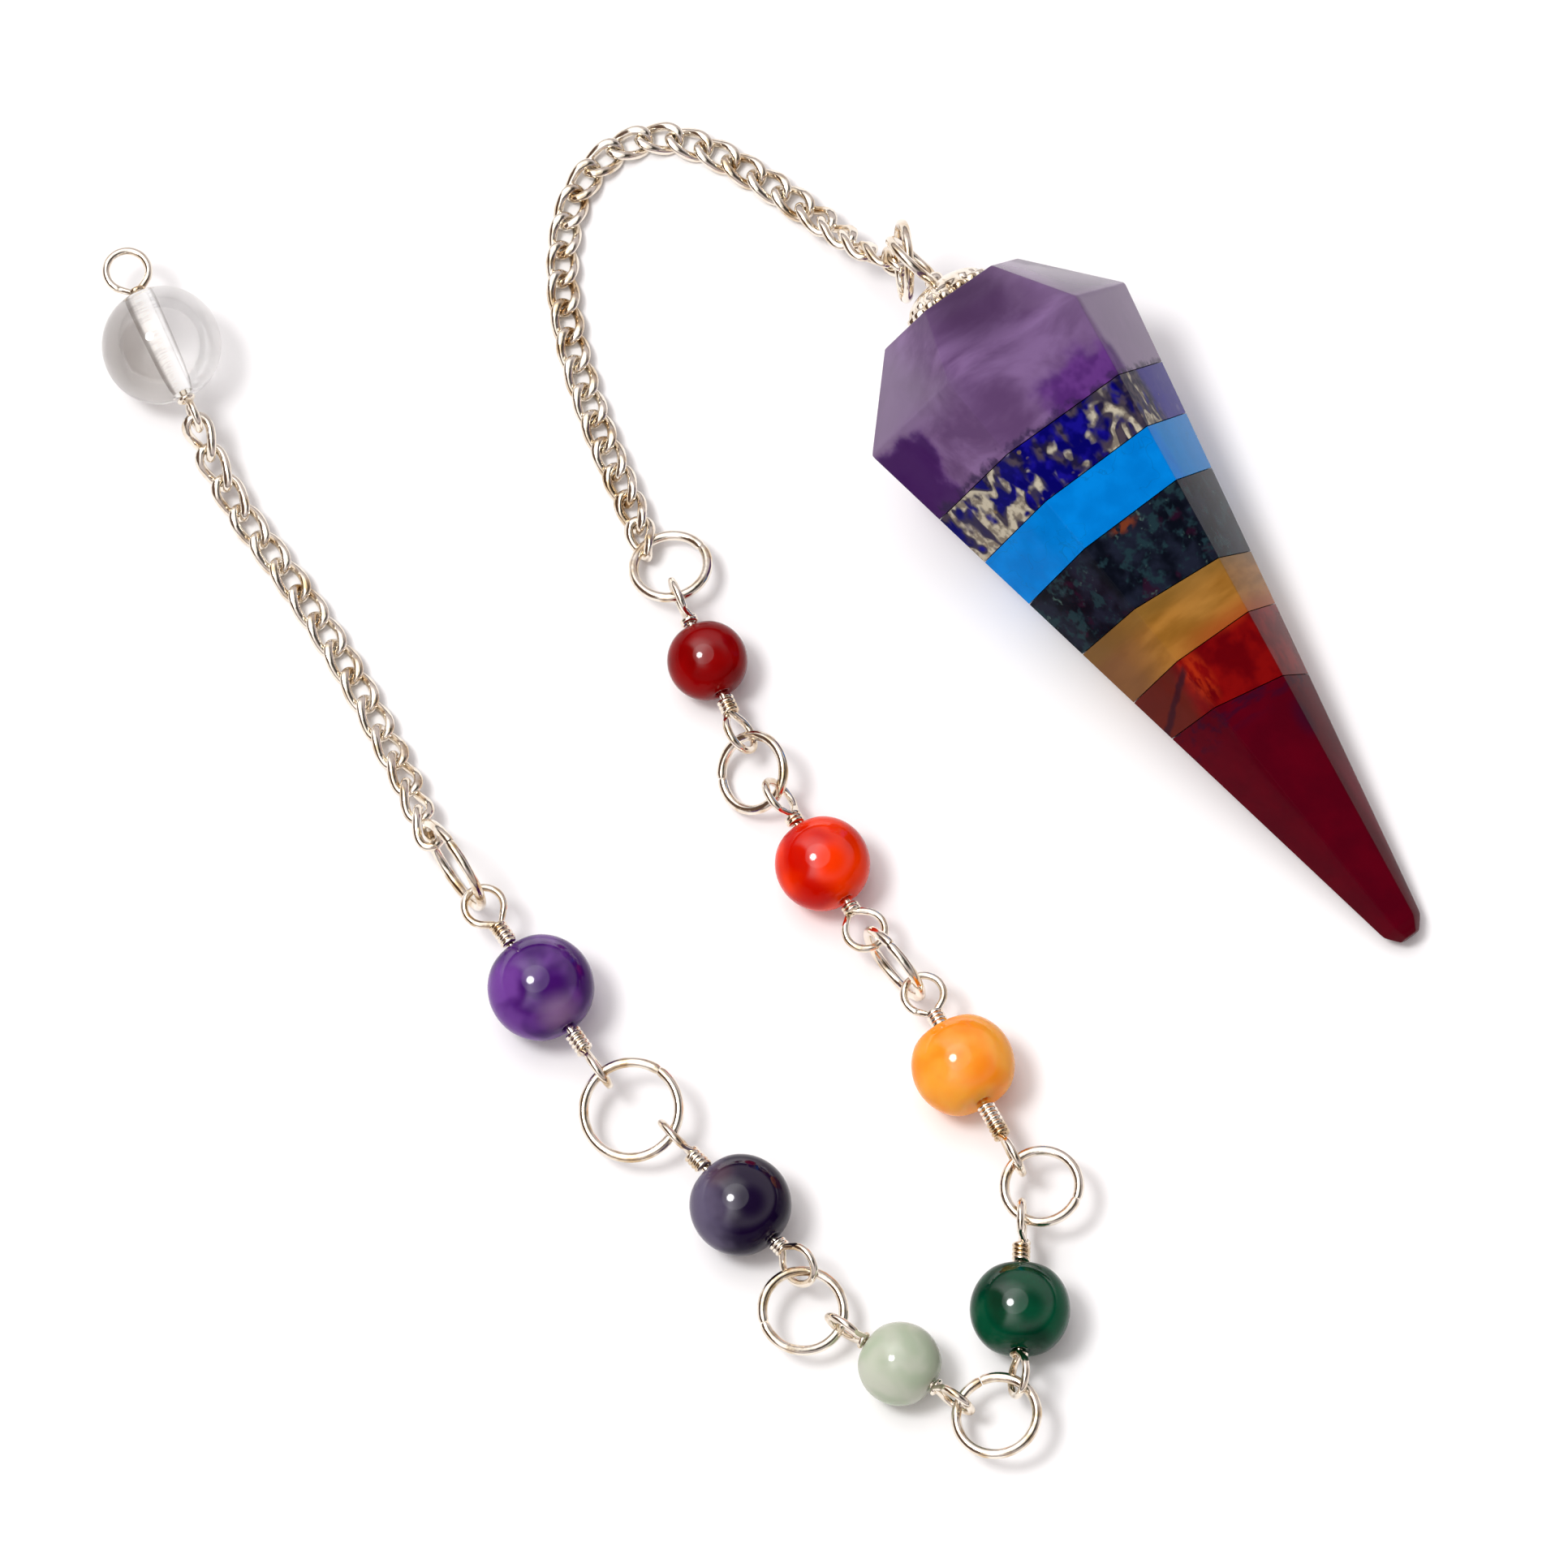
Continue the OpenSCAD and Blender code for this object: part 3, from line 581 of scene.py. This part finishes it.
def lower_chain():
    low, high = sin(radians(BALL_HOOK)), cos(radians(BALL_HOOK))
    last = rings[-1]
    start = BALL_EYE_AT + BALL_EYE_MID * (high * BALL_RUN - np.array([0, 0, low]))
    end = last.at + last.mid * last.spoke(last.angle_out)
    route = np.concatenate([[start], SHIFT + np.array(LOWER_ROUTE), [end]])
    return chain(chain_frames(route, LOWER_PITCH, low * BALL_RUN + np.array([0, 0, high]),
                              last.run(last.angle_out)))


# Finishes. A recipe gets a piece's own millimetres and returns what goes into the shader's sockets.

class Field:
    """A socket of a finish under way. Sums on it add Math nodes."""

    def __init__(self, finish, socket):
        self.finish, self.socket = finish, socket

    def math(self, operation, *others):
        return self.finish.node("ShaderNodeMath", {"operation": operation},
                                dict(enumerate((self, *others))))

    def __add__(self, other):
        return self.math("ADD", other)

    def __radd__(self, other):
        return self.math("ADD", other)

    def __sub__(self, other):
        return self.math("SUBTRACT", other)

    def __rsub__(self, other):
        return self.math("MULTIPLY", -1.0) + other

    def __mul__(self, other):
        return self.math("MULTIPLY", other)

    def __rmul__(self, other):
        return self.math("MULTIPLY", other)

    def __abs__(self):
        return self.math("ABSOLUTE")

    def ramp(self, low, high):
        """0 below low and 1 above high, with a soft rise between; low may be the larger."""
        return self.finish.node("ShaderNodeMapRange", {"interpolation_type": "SMOOTHSTEP"},
                                {0: self, 1: low, 2: high, 3: 0.0, 4: 1.0})


class Finish:
    """The nodes of one finish."""

    def __init__(self, tree):
        self.tree = tree
        tree.nodes.clear()

    def node(self, kind, settings=None, values=None, out=0):
        """Adds a node: its settings first, then the values and links of its sockets."""
        made = self.tree.nodes.new(kind)
        for name, value in (settings or {}).items():
            setattr(made, name, value)
        for key, value in (values or {}).items():
            if isinstance(value, Field):
                self.tree.links.new(value.socket, made.inputs[key])
            else:
                made.inputs[key].default_value = value
        return Field(self, made.outputs[out]) if len(made.outputs) else made

    def own_millimetres(self, origin, axes):
        """Object coordinates, centred on a piece, turned to its axes and counted in millimetres."""
        turn = Matrix([list(axis) for axis in axes]).transposed().to_euler()
        place = self.node("ShaderNodeTexCoord", out=3)
        return self.node("ShaderNodeMapping", {"vector_type": "TEXTURE"},
                         {0: place, 1: [MM * v for v in origin], 2: turn, 3: (MM, MM, MM)})

    def parts(self, vector):
        """The three parts of a place: along its piece, to the left and up."""
        x = self.node("ShaderNodeSeparateXYZ", None, {0: vector})
        return [Field(self, socket) for socket in x.socket.node.outputs]

    def cloud(self, vector, size, detail=2.0, stretch=None, move=None, roughness=0.5, warp=0.0):
        """Soft noise whose blots are about size wide, from 0 to 1."""
        if move is not None:
            vector = self.node("ShaderNodeVectorMath", {"operation": "ADD"}, {0: vector, 1: move})
        if stretch is not None:
            vector = self.node("ShaderNodeVectorMath", {"operation": "DIVIDE"}, {0: vector, 1: stretch})
        return self.node("ShaderNodeTexNoise", None, {"Vector": vector, "Scale": 1 / size,
                         "Detail": detail, "Roughness": roughness, "Distortion": warp})

    def cells(self, vector, size):
        """Distance to the nearest of many scattered points, about size apart."""
        return self.node("ShaderNodeTexVoronoi", None, {"Vector": vector, "Scale": 1 / size})

    def near(self, vector, spot, size):
        """1 at a spot, fading to 0 at size from it; size may be a number for each axis."""
        size = np.broadcast_to(np.asarray(size, float), 3).tolist()
        apart = self.node("ShaderNodeVectorMath", {"operation": "SUBTRACT"}, {0: vector, 1: spot})
        apart = self.node("ShaderNodeVectorMath", {"operation": "DIVIDE"}, {0: apart, 1: size})
        return self.node("ShaderNodeVectorMath", {"operation": "LENGTH"}, {0: apart}, 1).ramp(1.0, 0.2)

    def blend(self, a, b, share):
        """Colour a where share is 0 and colour b where it is 1."""
        return self.node("ShaderNodeMix", {"data_type": "RGBA"}, {0: share, 6: a, 7: b}, 2)

    def bump(self, height, distance):
        """A bump of a height field over a distance in millimetres."""
        return self.node("ShaderNodeBump", None, {"Distance": distance * MM, "Height": height})


def tone(code):
    """A colour from its six figure code, made linear."""
    parts = [int(code[k:k + 2], 16) / 255 for k in (0, 2, 4)]
    return (*[v / 12.92 if v <= 0.04045 else ((v + 0.055) / 1.055) ** 2.4 for v in parts], 1.0)


def finish(name, recipe, origin=(0, 0, 0), axes=((1, 0, 0), (0, 1, 0), (0, 0, 1))):
    """A material whose shader takes what the recipe says of the piece's own millimetres."""
    material = bpy.data.materials.new(name)
    material.use_nodes = True
    made = Finish(material.node_tree)
    shader = made.node("ShaderNodeBsdfPrincipled", None, recipe(made, made.own_millimetres(origin, axes)))
    made.node("ShaderNodeOutputMaterial", None, {"Surface": shader})
    return material


def polished(f, own, colour, **more):
    """A polished stone's gloss over a colour: a few faint polishing marks vary its roughness."""
    marks = f.cloud(own, 0.9, 3.0, (1, 1, 4))
    return {"Base Color": colour, "Roughness": marks * 0.1 + 0.06, "IOR": 1.5,
            "Specular IOR Level": 0.045, **more}


def amethyst(f, own):
    """Smoky violet with pale veils, darker under the cap, and strong violet near the lapis. Light and shade
    are painted on its facets: paler towards the right and on the right facet, paler grey on the upper left
    facet, and darker on the crown's right face and over the violet on the left.
    """
    s, p = f.parts(own)[:2]
    veil = f.cloud(own, 3.0, 4.0, (1, 1.8, 1), None, 0.55, 0.4)
    grey_tint = f.cloud(own, 6.0, 2.0, None, (3, 5, 1))
    colour = f.blend(tone("5c4169"), tone("7d618d"), veil.ramp(0.34, 0.66))
    colour = f.blend(colour, tone("8b7396"), grey_tint.ramp(0.48, 0.7) * 0.5)
    # painted light: paler towards the right of the crown and the top face
    colour = f.blend(colour, tone("7f688c"), p.ramp(1.5, 4.8) * s.ramp(9.0, 3.0) * 0.6)
    colour = f.blend(colour, tone("3a2243"), f.near(own, (1.8, -0.2, 5), (6.0, 5.0, 6)) * 0.8)
    colour = f.blend(colour, tone("54385f"), f.near(own, (7.8, -2.6, 6), (3.5, 2.2, 4)) * 0.5)
    # painted light and shade on the facets: paler grey on the upper left facet, a pale strip on the right
    # facet, darker on the crown's right face
    colour = f.blend(colour, tone("75667f"), p.ramp(-3.8, -6.0) * s.ramp(7.0, 4.0) * 0.7)
    colour = f.blend(colour, tone("94869d"), p.ramp(4.7, 5.2) * s.ramp(4.4, 5.4) * 0.8)
    colour = f.blend(colour, tone("5f5069"), p.ramp(3.6, 5.6) * s.ramp(5.2, 4.2) * 0.8)
    ragged = f.cloud(own, 1.9, 3.0)
    rough_s, rough_p = s + ragged * 2.4 - 1.2, p + ragged * 2.4 - 1.2
    right = rough_s.ramp(7.0, 8.8) * rough_p.ramp(-1.6, 0.8) * p.ramp(5.6, 4.8)
    left = (rough_s - p * 0.25).ramp(7.0, 8.0) * rough_p.ramp(-6.5, -7.4)
    violet = f.blend(tone("4a1e68"), tone("5e307c"), f.cloud(own, 1.2, 2.0).ramp(0.4, 0.62))
    # painted shade: the violet is darker where it lies on the left side
    colour = f.blend(colour, f.blend(violet, tone("360f50"), left), (right + left).ramp(0.0, 1.0) * 0.9)
    shade = (s + f.cloud(own, 0.5, 2.0)).ramp(10.2, 10.8) * f.cloud(own, 0.8, 2.0).ramp(0.4, 0.55)
    return polished(f, own, f.blend(colour, tone("2c2140"), shade * 0.8))


def lapis(f, own):
    """Deep blue with dark mottling, crossed by broken cream streaks that curl at the right end, with
    painted light on the right facet, a paler violet blue.
    """
    s, p = f.parts(own)[:2]
    blue = f.blend(tone("06045c"), tone("150f80"), f.cloud(own, 0.9, 2.0).ramp(0.45, 0.68))
    dark = f.cloud(own, 1.3, 2.0, (1.6, 0.8, 1), (9, 2, 4))
    blue = f.blend(blue, f.blend(tone("1d1836"), tone("463c48"), f.cloud(own, 0.6, 1.0).ramp(0.4, 0.6)),
                   (dark + p.ramp(-1.0, 2.5) * 0.12).ramp(0.5, 0.64))
    crowd = p.ramp(-3.6, -6.2) * 0.6 + p.ramp(0.4, 1.8) * p.ramp(5.6, 4.8) * 0.6
    crowd = crowd + s.ramp(12.2, 13.3) * 0.3
    broken = (f.cloud(own, 1.1, 1.5, None, (5, 5, 0)) + crowd * 0.42).ramp(0.6, 0.76)
    curl = abs(f.cloud(own, 2.3, 1.2, (1.3, 0.8, 1), (4, 0, 3), 0.5, 0.6) - 0.5)
    streak = curl.ramp(0.085, 0.045) * broken
    grain = f.blend(tone("7a7165"), tone("b8b09c"), f.cloud(own, 0.5, 2.0).ramp(0.38, 0.6))
    colour = f.blend(blue, tone("3a3440"), curl.ramp(0.13, 0.09) * broken * 0.8)
    colour = f.blend(colour, grain, streak)
    # painted light: a paler violet blue on the right facet
    colour = f.blend(colour, tone("30248c"), p.ramp(5.6, 6.3) * 0.85)
    brass = f.cells(own, 0.9).ramp(0.2, 0.1) * f.cloud(own, 1.5, 1.0, None, (2, 7, 1)).ramp(0.55, 0.65)
    return polished(f, own, f.blend(colour, tone("a8905c"), brass * 0.6), Metallic=brass * 0.5)


def turquoise(f, own):
    """Even bright blue with faint clouding and a few hair thin darker veins, and painted light on the right
    facet, paler and greener.
    """
    mottle = f.cloud(own, 1.8, 4.0)
    colour = f.blend(tone("0072c6"), tone("027fd6"), mottle.ramp(0.3, 0.7))
    vein = abs(f.cloud(own, 3.0, 3.0, None, (4, 1, 8), 0.5, 0.5) - 0.5).ramp(0.008, 0.0)
    colour = f.blend(colour, tone("0a5d96"), vein * 0.4)
    p = f.parts(own)[1]
    # painted light: a paler, greener blue on the right facet
    return polished(f, own, f.blend(colour, tone("0a86c8"), p.ramp(4.2, 4.8) * 0.6))


def moss_stone(f, own):
    """Near black ground with small teal and leaf green grains, and a rusty trace at its top."""
    ground = f.blend(tone("090c16"), tone("1b1f2e"), f.cloud(own, 1.6, 3.0).ramp(0.4, 0.65))
    ground = f.blend(ground, tone("280e22"), f.cloud(own, 1.2, 2.0, None, (2, 6, 1)).ramp(0.58, 0.7) * 0.8)
    where = f.cloud(own, 2.2, 1.0, None, (1, 3, 2)) * 0.5
    where = where + f.near(own, (19.2, -0.6, 5), (2.6, 3.2, 4)) * 0.08
    moss = f.cloud(own, 0.8, 2.5, None, (3, 1, 2), 0.6) + where
    colour = f.blend(ground, tone("1d3138"), moss.ramp(0.76, 0.92))
    bright = f.cloud(own, 0.6, 2.0, None, (8, 3, 1)) + where
    colour = f.blend(colour, tone("4a625e"), bright.ramp(0.94, 1.06) * 0.8)
    rust = f.near(own, (17.9, -0.7, 6.1), (0.6, 1.3, 1.5)) * f.cloud(own, 0.5, 2.0).ramp(0.4, 0.6)
    return polished(f, own, f.blend(colour, tone("7a381c"), rust * 0.8))


def yellow_stone(f, own):
    """Honey coloured stone with painted shade on the left facet, redder at its lower end, with soft cross
    bands.
    """
    s, p = f.parts(own)[:2]
    band = f.cloud(own, 1.8, 3.0, (0.6, 2.2, 2.2))
    colour = f.blend(tone("86591f"), tone("a37030"), band.ramp(0.35, 0.65))
    # painted shade: browner on the left facet
    colour = f.blend(colour, tone("6f4a32"), p.ramp(-2.5, -5.0) * 0.8)
    colour = f.blend(colour, tone("6e5528"), s.ramp(24.0, 22.9) * 0.5)
    colour = f.blend(colour, tone("9c4a20"), s.ramp(24.8, 26.4) * p.ramp(-4.0, 1.0) * 0.8)
    return polished(f, own, f.blend(colour, tone("a97a3c"), f.near(own, (24.0, 0.5, 5), 2.0) * 0.3))


def red_carnelian(f, own):
    """Deep clear red with a glowing orange spot, painted shade on the left facet, and dark healed cracks.
    """
    s, p = f.parts(own)[:2]
    colour = f.blend(tone("5e0209"), tone("7c0a0a"), f.cloud(own, 1.8, 3.0).ramp(0.38, 0.62))
    veil = f.cloud(own, 0.8, 3.0, (1.6, 0.7, 1)).ramp(0.3, 0.6)
    glow = f.near(own, (27.9, -2.1, 4.4), (2.8, 1.2, 2)) * veil
    glow = glow + f.near(own, (26.2, 1.6, 5), (0.9, 2.4, 3)) * 0.5
    colour = f.blend(colour, tone("a12a10"), glow.ramp(0.0, 1.0) * 0.9)
    # painted shade: browner on the left facet
    colour = f.blend(colour, tone("561c14"), p.ramp(-2.7, -3.4) * 0.9)
    line = abs(s + p * 0.95 + f.cloud(own, 1.5, 2.0) * 0.8 - 25.0)
    crack = line.ramp(0.38, 0.1) * p.ramp(-2.3, -2.8)
    return polished(f, own, f.blend(colour, tone("300c1a"), crack * 0.85))


def red_jasper(f, own):
    """Dark wine red, hardly clouded, with a few darker threads near the joint, and painted light on the
    right facet near the tip.
    """
    s, p = f.parts(own)[:2]
    colour = f.blend(tone("4c0212"), tone("560213"), f.cloud(own, 2.6, 4.0).ramp(0.35, 0.65))
    dark = f.cloud(own, 1.0, 3.0, (0.8, 2, 1)).ramp(0.45, 0.62) * s.ramp(32.6, 30.6)
    dark = dark + f.near(own, (33.6, 2.2, 3.6), (2.2, 1.4, 2)) * 0.8
    colour = f.blend(colour, tone("2e0a22"), dark.ramp(0.0, 1.0) * 0.7)
    # painted light: a brighter red on the right facet near the tip
    colour = f.blend(colour, tone("6e1024"), p.ramp(1.8, 2.4) * s.ramp(35.0, 38.0) * 0.6)
    return polished(f, own, colour, **{"Specular IOR Level": 0.02})


def tumbled(f, own, colour, **more):
    """The shine of a small tumbled bead over a colour, strongest on its top."""
    top = f.parts(own)[2].ramp(2.0, 2.4)
    return polished(f, own, colour, **{"Specular IOR Level": 0.06, "Coat Weight": top,
                                       "Coat Roughness": 0.08}, **more)


def glowing(weight, radius):
    """Light that spreads a little way under a clear stone's surface."""
    return {"Subsurface Weight": weight, "Subsurface Radius": radius, "Subsurface Scale": 1.6 * MM}


def bead_red(f, own):
    """Opaque dark red."""
    colour = f.blend(tone("780203"), tone("8c0405"), f.cloud(own, 2.5, 2.0).ramp(0.35, 0.65))
    return tumbled(f, own, colour)


def bead_carnelian(f, own):
    """Clear fiery red with an orange cloud."""
    veil = f.cloud(own, 3.4, 1.5, None, (1, 4, 2))
    colour = f.blend(tone("c40e00"), tone("f43600"), veil.ramp(0.36, 0.64))
    return tumbled(f, own, colour, **glowing(0.15, (1.0, 0.2, 0.04)))


def bead_orange(f, own):
    """Milky orange with soft paler layers."""
    colour = f.blend(tone("f98f1c"), tone("ffa73e"), f.cloud(own, 3.0, 2.0, (1, 1, 2)).ramp(0.36, 0.64))
    return tumbled(f, own, colour, **glowing(0.8, (1.0, 0.45, 0.15)))


def bead_green(f, own):
    """Deep clear green."""
    colour = f.blend(tone("01301e"), tone("034a30"), f.cloud(own, 3.2, 1.5).ramp(0.36, 0.64))
    return tumbled(f, own, colour, **glowing(0.3, (0.2, 1.0, 0.6)))


def bead_pale_green(f, own):
    """Cloudy grey green."""
    veil = f.cloud(own, 2.6, 2.0, None, None, 0.5, 0.3)
    colour = f.blend(tone("aab59f"), tone("bec2b3"), veil.ramp(0.36, 0.64))
    return tumbled(f, own, colour, **glowing(0.7, (0.8, 1.0, 0.8)))


def bead_indigo(f, own):
    """Inky violet with a painted grey sheen on the side towards the light and a painted warm sheen near the
    top.
    """
    s, p = f.parts(own)[:2]
    # painted sheen: a grey veil on the side towards the light
    grey_tint = (s * 0.25 + p * 0.28 + f.cloud(own, 2.2, 2.0, None, (2, 1, 5))).ramp(0.5, 1.25)
    colour = f.blend(tone("160828"), tone("5c546c"), grey_tint)
    # painted sheen: a warm spot near the top
    painted_warm_sheen = f.near(own, (1.6, 0.2, 2.4), 1.3)
    return tumbled(f, own, f.blend(colour, tone("4a2a34"), painted_warm_sheen * 0.6))


def bead_violet(f, own):
    """Violet with paler clouds, palest near its lower end."""
    veil = f.cloud(own, 3.0, 2.0, None, (1, 1, 2), 0.5, 0.3)
    colour = f.blend(tone("400e64"), tone("6c3c90"), veil.ramp(0.38, 0.64))
    colour = f.blend(colour, tone("94739a"), f.near(own, (-2.2, 0.3, 1.6), 1.8) * 0.7)
    return tumbled(f, own, colour, **glowing(0.25, (0.7, 0.4, 1.0)))


def clear_quartz(f, own):
    """Clear stone with painted grey shade over its left side."""
    p = f.parts(own)[1]
    # painted shade: grey over the left side, which also makes that side less clear
    grey_tint = p.ramp(0.6, -0.6)
    return {"Base Color": f.blend((1, 1, 1, 1), tone("c2bcb6"), grey_tint), "Roughness": 0.0, "IOR": 1.544,
            "Transmission Weight": 1.0, "Alpha": grey_tint * 0.3 + 0.55}


def glowing_frosted_bore(f, own):
    """The unpolished wall of the drilled channel, with a painted glow for the light that reaches it inside
    the stone, and painted grey shade at its sides.
    """
    p = f.parts(own)[1]
    colour = f.blend(tone("e9e9ea"), tone("ffffff"), f.cloud(own, 0.25, 2.0, (0.3, 3, 3)).ramp(0.35, 0.6))
    # painted shade: grey at the sides of the channel
    colour = f.blend(colour, tone("8d8884"), abs(p).ramp(0.4, 0.54))
    # painted light: the wall glows with its own colour
    return {"Base Color": colour, "Roughness": 0.55, "Emission Color": colour, "Emission Strength": 0.5}


def pale_gold(f, own):
    """Worn silver plate with a warm cast: tiny dents, and a brown tarnish in patches."""
    patch = f.cloud(own, 1.4, 3.0)
    fine = f.cloud(own, 0.16, 2.0)
    colour = f.blend(tone("f3eadc"), tone("c9ae88"), patch.ramp(0.45, 0.72))
    return {"Base Color": colour, "Metallic": 1.0, "Roughness": fine * 0.14 + 0.08,
            "Normal": f.bump(f.cloud(own, 0.35, 2.0), 0.012)}


def table_top(f, own):
    """Plain matt white."""
    return {"Base Color": (0.94, 0.932, 0.937, 1), "Roughness": 0.6, "Specular IOR Level": 0.2}


# Putting pieces into the scene

SHARP = 50  # faces that turn by more than this keep a hard edge between them


def put(name, shape, material, slot, *nodes):
    """Makes a mesh of a shape in metres, gives it its finish and ties it to the frame."""
    mesh = bpy.data.meshes.new(name)
    mesh.from_pydata((shape.points * MM).tolist(), [], shape.faces)
    mesh.polygons.foreach_set("use_smooth", shape.soft)
    mesh.set_sharp_from_angle(angle=radians(SHARP))
    mesh.materials.append(material)
    mesh.update()
    piece = bpy.data.objects.new(name, mesh)
    bpy.context.scene.collection.objects.link(piece)
    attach(piece, "root")
    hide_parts(*nodes)
    return piece


# the node of each layer, its recipe and its slot
STONES = [
    ("amethyst_crown", amethyst, "amethyst"),
    ("lapis_layer", lapis, "lapis"),
    ("turquoise_layer", turquoise, "turquoise"),
    ("moss_layer", moss_stone, "moss_stone"),
    ("yellow_layer", yellow_stone, "yellow_stone"),
    ("carnelian_layer", red_carnelian, "red_carnelian"),
    ("jasper_tip", red_jasper, "red_jasper"),
]
for number, (node, recipe, slot) in enumerate(STONES):
    material = finish(slot, recipe, STONE_TOP, (STONE_AXIS, STONE_SIDE, STONE_UP))
    put("polished_" + node, stone_layer(number), material, slot, node)

metal = finish("pale_gold_plate", pale_gold)
put("fluted_bell_cap", bell_cap(), metal, "silver", "bell_cap")
put("ring_on_cap", split_hoop(CAP_RING_AT, CAP_RING_UP, CAP_RING_NORMAL, CAP_RING_MID, FULL_RING_WIRE, 120),
    metal, "silver", "cap_ring")
put("curb_chain_upper", upper_chain(), metal, "silver", "upper_chain")
put("curb_chain_lower", lower_chain(), metal, "silver", "lower_chain")
for i, ring in enumerate(rings):
    put(f"cut_jump_ring_{i + 1}", ring.shape(), metal, "silver", f"jump_ring_{i + 1}")

BEAD_FINISHES = [bead_red, bead_carnelian, bead_orange, bead_green, bead_pale_green, bead_indigo,
                 bead_violet]
for i, (strung_bead, recipe) in enumerate(zip(strung, BEAD_FINISHES)):
    slot = recipe.__name__
    run = strung_bead.run
    material = finish(slot, recipe, strung_bead.at, (run, left_of(run), np.array([0, 0, 1.0])))
    put(f"drilled_bead_{i + 1}", strung_bead.bead(), material, slot, f"bead_{i + 1}")
    put(f"wrapped_pin_{i + 1}", strung_bead.pin(), metal, "silver", f"eye_pin_{i + 1}")

ball_axes = (BALL_RUN, left_of(BALL_RUN), (0, 0, 1))
ball = put("clear_ball", bead(BALL_AT, BALL_RUN, BALL_D, BALL_D, BALL_BORE, 96),
           finish("clear_quartz", clear_quartz, BALL_AT, ball_axes), "quartz", "quartz_ball")
ball.data.materials.append(finish("glowing_frosted_bore", glowing_frosted_bore, BALL_AT, ball_axes))
centres = np.zeros(3 * len(ball.data.polygons))
ball.data.polygons.foreach_get("center", centres)
from_ball = centres.reshape(-1, 3) / MM - BALL_AT
off_pin = np.linalg.norm(from_ball - np.outer(from_ball @ BALL_RUN, BALL_RUN), axis=1)
ball.data.polygons.foreach_set("material_index", (off_pin < BALL_BORE / 2 + 0.02).astype(np.int32))
put("wrapped_ball_pin", pin(END_LOOP_AT, BALL_EYE_AT, np.array([0, 0, 1.0]), left_of(BALL_RUN),
                            END_LOOP_MID, BALL_EYE_MID, BALL_AT, BALL_D), metal, "silver", "ball_pin")

# The table, the light and the camera, in metres but for the lens

TABLE_HALF = 3.0
CAMERA_AWAY = 3.173
CAMERA_RISE = radians(70)
LENS_MM = 1200
SENSOR_MM = 36

table = bpy.data.objects.new("table_top", bpy.data.meshes.new("table_top"))
corners = [(TABLE_HALF * x, TABLE_HALF * y, 0) for x, y in ((-1, -1), (1, -1), (1, 1), (-1, 1))]
table.data.from_pydata(corners, [], [(0, 1, 2, 3)])
table.data.materials.append(finish("white_table", table_top))
bpy.context.scene.collection.objects.link(table)

for name, energy, width, down in (("soft_box", 0.75, 60, (0.2, 0.0, -0.98)),
                                  ("window_light", 1.35, 16, (0.38, 0.04, -0.92))):
    lamp = bpy.data.objects.new(name, bpy.data.lights.new(name, "SUN"))
    lamp.data.energy = energy
    lamp.data.angle = radians(width)
    lamp.rotation_euler = Vector(down).to_track_quat("-Z", "Y").to_euler()
    bpy.context.scene.collection.objects.link(lamp)

# The room: bright above on the left, dark low on the left, a dim ceiling on the right, and a dark
# strip at the horizon
room = bpy.data.worlds.new("studio_room")
room.use_nodes = True
bpy.context.scene.world = room
air = Finish(room.node_tree)
toward = air.node("ShaderNodeTexCoord", out=0)


def facing(direction, low, high):
    """How much of a direction the room's light comes from, between two cosines."""
    share = air.node("ShaderNodeVectorMath", {"operation": "DOT_PRODUCT"},
                     {0: toward, 1: unit(direction).tolist()}, 1)
    return share.ramp(low, high)


light = air.blend((0.6, 0.55, 0.572, 1), (2.0, 1.97, 1.94, 1), facing((-0.5, 0.0, 0.87), 0.5, 0.92))
light = air.blend(light, (0.12, 0.07, 0.05, 1), facing((-0.94, -0.12, 0.32), 0.68, 0.84))
light = air.blend(light, (0.05, 0.045, 0.04, 1), facing((0.38, -0.17, 0.91), 0.66, 0.97))
light = air.blend((0.03, 0.02, 0.015, 1), light, facing((0, 0, 1), 0.05, 0.22))
sky = air.node("ShaderNodeBackground", None, {"Color": light, "Strength": 1.0})
air.node("ShaderNodeOutputWorld", None, {"Surface": sky})

camera = bpy.data.objects.new("camera", bpy.data.cameras.new("camera"))
target = Vector((1.45, -0.23, 3.0)) * MM
camera.location = target + CAMERA_AWAY * Vector((0, -cos(CAMERA_RISE), sin(CAMERA_RISE)))
camera.rotation_euler = (target - camera.location).to_track_quat("-Z", "Y").to_euler()
camera.data.sensor_width = SENSOR_MM
camera.data.lens = LENS_MM
camera.data.clip_end = 20
bpy.context.scene.collection.objects.link(camera)
bpy.context.scene.camera = camera
bpy.context.scene.view_settings.view_transform = "Standard"
